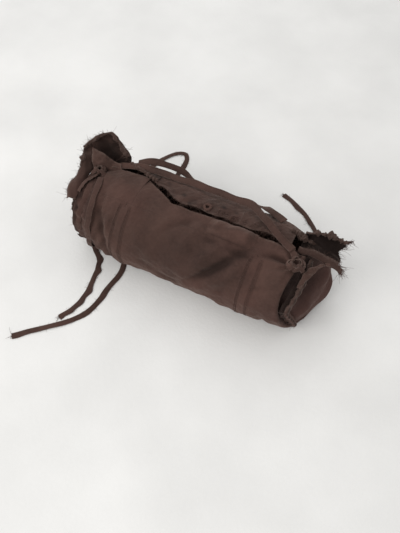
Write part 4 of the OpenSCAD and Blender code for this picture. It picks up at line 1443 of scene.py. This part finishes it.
def tail_specs():
    """The four tails: name, root on the bag, and steps from it in mm along X and Y, each with its
    height as a share of the root's."""
    def root(x, a, off):
        return wall(x, a, off, 0.0)

    foot = -float(floor_half_width(-BAND_LEFT)) - 0.011
    return [
        ("left_short_tail", root(TIE_X + TIE_W, SHORT_TAIL_ANGLE, 0.007),
         [[0, 0, 1], [5, -5, 0.45]]
         + flat_points([(12, -10), (20, -19), (25, -33), (29, -51), (32, -68), (33, -85),
                        (31, -101), (26, -116), (18, -130)])),
        ("left_long_tail", np.array([BAND_LEFT - 0.011, foot, FLOOR_Z]),
         flat_points([(0, 0), (6, -10), (10, -22), (11, -36), (9, -52), (7, -68), (7, -84),
                      (5, -100), (-1, -116), (-11, -131), (-24, -144), (-39, -158), (-58, -175),
                      (-77, -193)])),
        ("right_tail", root(RIGHT_LEN + 0.004, 10, 0.009),
         [[0, 0, 1], [5, 7, 0.8], [7, 15, 0.54], [6, 24, 0.29], [1, 35, 0.1]]
         + flat_points([(-8, 48), (-20, 64), (-33, 80), (-48, 95), (-65, 108), (-85, 119),
                        (-106, 129)])),
        ("back_tail", root(-LEFT_LEN + 0.040, 22, 0.008),
         [[0, 0, 1], [-5, 7, 0.76], [-10, 15, 0.5], [-15, 25, 0.24], [-19, 37, 0.08]]
         + flat_points([(-21, 53), (-19, 71), (-13, 90), (-3, 108), (9, 120), (21, 123), (29, 113),
                        (31, 95), (31, 75), (33, 55), (36, 37)])),
    ]


class BAG_OT_tails(bpy.types.Operator):
    """Lay the four loose tails of the ties on the floor"""

    bl_idname = "rope_bag.tails"
    bl_label = "Loose tails"

    def execute(self, context):
        for k, (name, root, steps) in enumerate(tail_specs()):
            steps = np.array(steps, float)
            points = np.column_stack([
                root[0] + steps[:, 0] * MM, root[1] + steps[:, 1] * MM,
                np.maximum(FLOOR_Z, root[2] * steps[:, 2]),
            ])
            route = smooth_line(points, 220)
            route[:, 2] = np.maximum(route[:, 2], FLOOR_Z)
            t = np.linspace(0, 1, 220)
            lean = 0.35 * np.sin(t * 9 + k) * np.sin(np.pi * t)
            face = np.stack([0 * t, lean, 1 + 0 * t], -1)
            obj, threads = torn_strip(name + "_strip", route, TIE_W, TIE_T, face, 50 + k, 0.0002)
            place(obj, name, "tail_cloth", name)
            for thread in threads:
                place(thread, name, "tail_cloth")
            tip = fray(f"{name}_tip_fray", route[-4:], np.tile(route[-1] - route[-6], (4, 1)), 22,
                       0.006, 55 + k)
            place(tip, name, "tail_cloth")
        return {"FINISHED"}


# ---- Materials, stage and the panel ---------------------------------------------------------


class BAG_OT_materials(bpy.types.Operator):
    """Dye the cloth: one material for each kind of piece"""

    bl_idname = "rope_bag.materials"
    bl_label = "Cloth materials"

    def execute(self, context):
        base, worn = np.array(group().cloth_colour), tuple(group().worn_colour)

        def shade(strength, tint=(1, 1, 1)):
            return tuple(float(c) for c in base * strength * np.array(tint))

        cloth_material("body_cotton", shade(1.10), worn)
        cloth_material("end_cotton", shade(1.05, (1.02, 0.97, 1.0)), worn)
        cloth_material("seam_cotton", shade(0.95), worn, weave=0.3)
        cloth_material("lip_cotton", shade(0.95), worn)
        cloth_material("hem_cotton", shade(1.16), worn, sheen=0.2)
        cloth_material("hood_cotton", shade(0.92), worn)
        cloth_material("rim_cotton", shade(0.80), worn, weave=0.45, crumple=0.9)
        cloth_material("strap_cotton", shade(1.10), worn, weave=0.35)
        cloth_material("tie_cotton", shade(1.02), worn, weave=0.40)
        cloth_material("loop_thread", shade(1.9), worn, weave=0.5)
        cloth_material("thread", shade(1.55), worn, weave=0.1)
        cloth_material("stitch", shade(1.35), worn, weave=0.1)
        return {"FINISHED"}


class BAG_OT_stage(bpy.types.Operator):
    """Set the pale floor, the soft light and the camera"""

    bl_idname = "rope_bag.stage"
    bl_label = "Floor, light and camera"

    def execute(self, context):
        scene = context.scene
        side = 3.0
        corner = np.array([[-side, -side, 0], [side, -side, 0], [side, side, 0], [-side, side, 0]])
        corner[:, 2] = -0.0002
        floor = make_object("pale_floor", corner, [[0, 1, 2, 3]],
                            material=floor_material(), smooth=False)
        world = bpy.data.worlds.new("soft_room")
        world.use_nodes = True
        room = world.node_tree.nodes["Background"]
        room.inputs["Color"].default_value = (1.0, 0.99, 0.975, 1)
        room.inputs["Strength"].default_value = 0.82
        scene.world = world
        self.light("window_light", (-0.70, -1.25, 1.40), 1.1, 17, (1.0, 0.985, 0.96))
        self.light("sky_light", (-1.0, 1.1, 1.6), 1.4, 7, (0.98, 0.99, 1.0))
        camera = bpy.data.objects.new("camera", bpy.data.cameras.new("camera"))
        camera.data.lens, camera.data.sensor_width = 35, 36
        right = Vector((0.8988, 0.4384, 0.0))
        back = Vector((0.2323, -0.4763, 0.8480)).normalized()
        right = (right - back * right.dot(back)).normalized()
        up = back.cross(right)
        turn = Matrix((right, up, back)).transposed()
        camera.matrix_world = Matrix.Translation((0.1904, -0.4015, 0.6987)) @ turn.to_4x4()
        scene.collection.objects.link(camera)
        scene.camera = camera
        scene.view_settings.view_transform = "Standard"
        return {"FINISHED"}

    def light(self, name, place_at, size, power, colour):
        """A square soft light that looks at the middle of the bag."""
        lamp = bpy.data.lights.new(name, "AREA")
        lamp.size, lamp.energy, lamp.color = size, power, colour
        obj = bpy.data.objects.new(name, lamp)
        obj.location = place_at
        look = Vector((0, 0, 0.05)) - Vector(place_at)
        obj.rotation_euler = look.to_track_quat("-Z", "Y").to_euler()
        bpy.context.scene.collection.objects.link(obj)


OPERATORS = (
    BAG_OT_materials, BAG_OT_stage, BAG_OT_tails, BAG_OT_body, BAG_OT_ends, BAG_OT_bands,
    BAG_OT_seams, BAG_OT_mouth, BAG_OT_hood, BAG_OT_cuff, BAG_OT_handles, BAG_OT_ties,
)


class BAG_PT_panel(bpy.types.Panel):
    """Sizes, colours and pieces of the cloth rope bag"""

    bl_idname = "BAG_PT_panel"
    bl_label = "Cloth rope bag"
    bl_space_type = "VIEW_3D"
    bl_region_type = "UI"
    bl_category = "Rope Bag"

    def draw(self, context):
        column = self.layout.column()
        for name in RopeBagLooks.__annotations__:
            column.prop(context.scene.rope_bag, name)
        for operator in OPERATORS:
            column.operator(operator.bl_idname)


CLASSES = (RopeBagLooks, *OPERATORS, BAG_PT_panel)


def register():
    for cls in CLASSES:
        bpy.utils.register_class(cls)
    bpy.types.Scene.rope_bag = PointerProperty(type=RopeBagLooks)


def unregister():
    del bpy.types.Scene.rope_bag
    for cls in reversed(CLASSES):
        bpy.utils.unregister_class(cls)


def main():
    register()
    for operator in OPERATORS:
        family, name = operator.bl_idname.split(".")
        getattr(getattr(bpy.ops, family), name)()


if __name__ == "__main__":
    main()
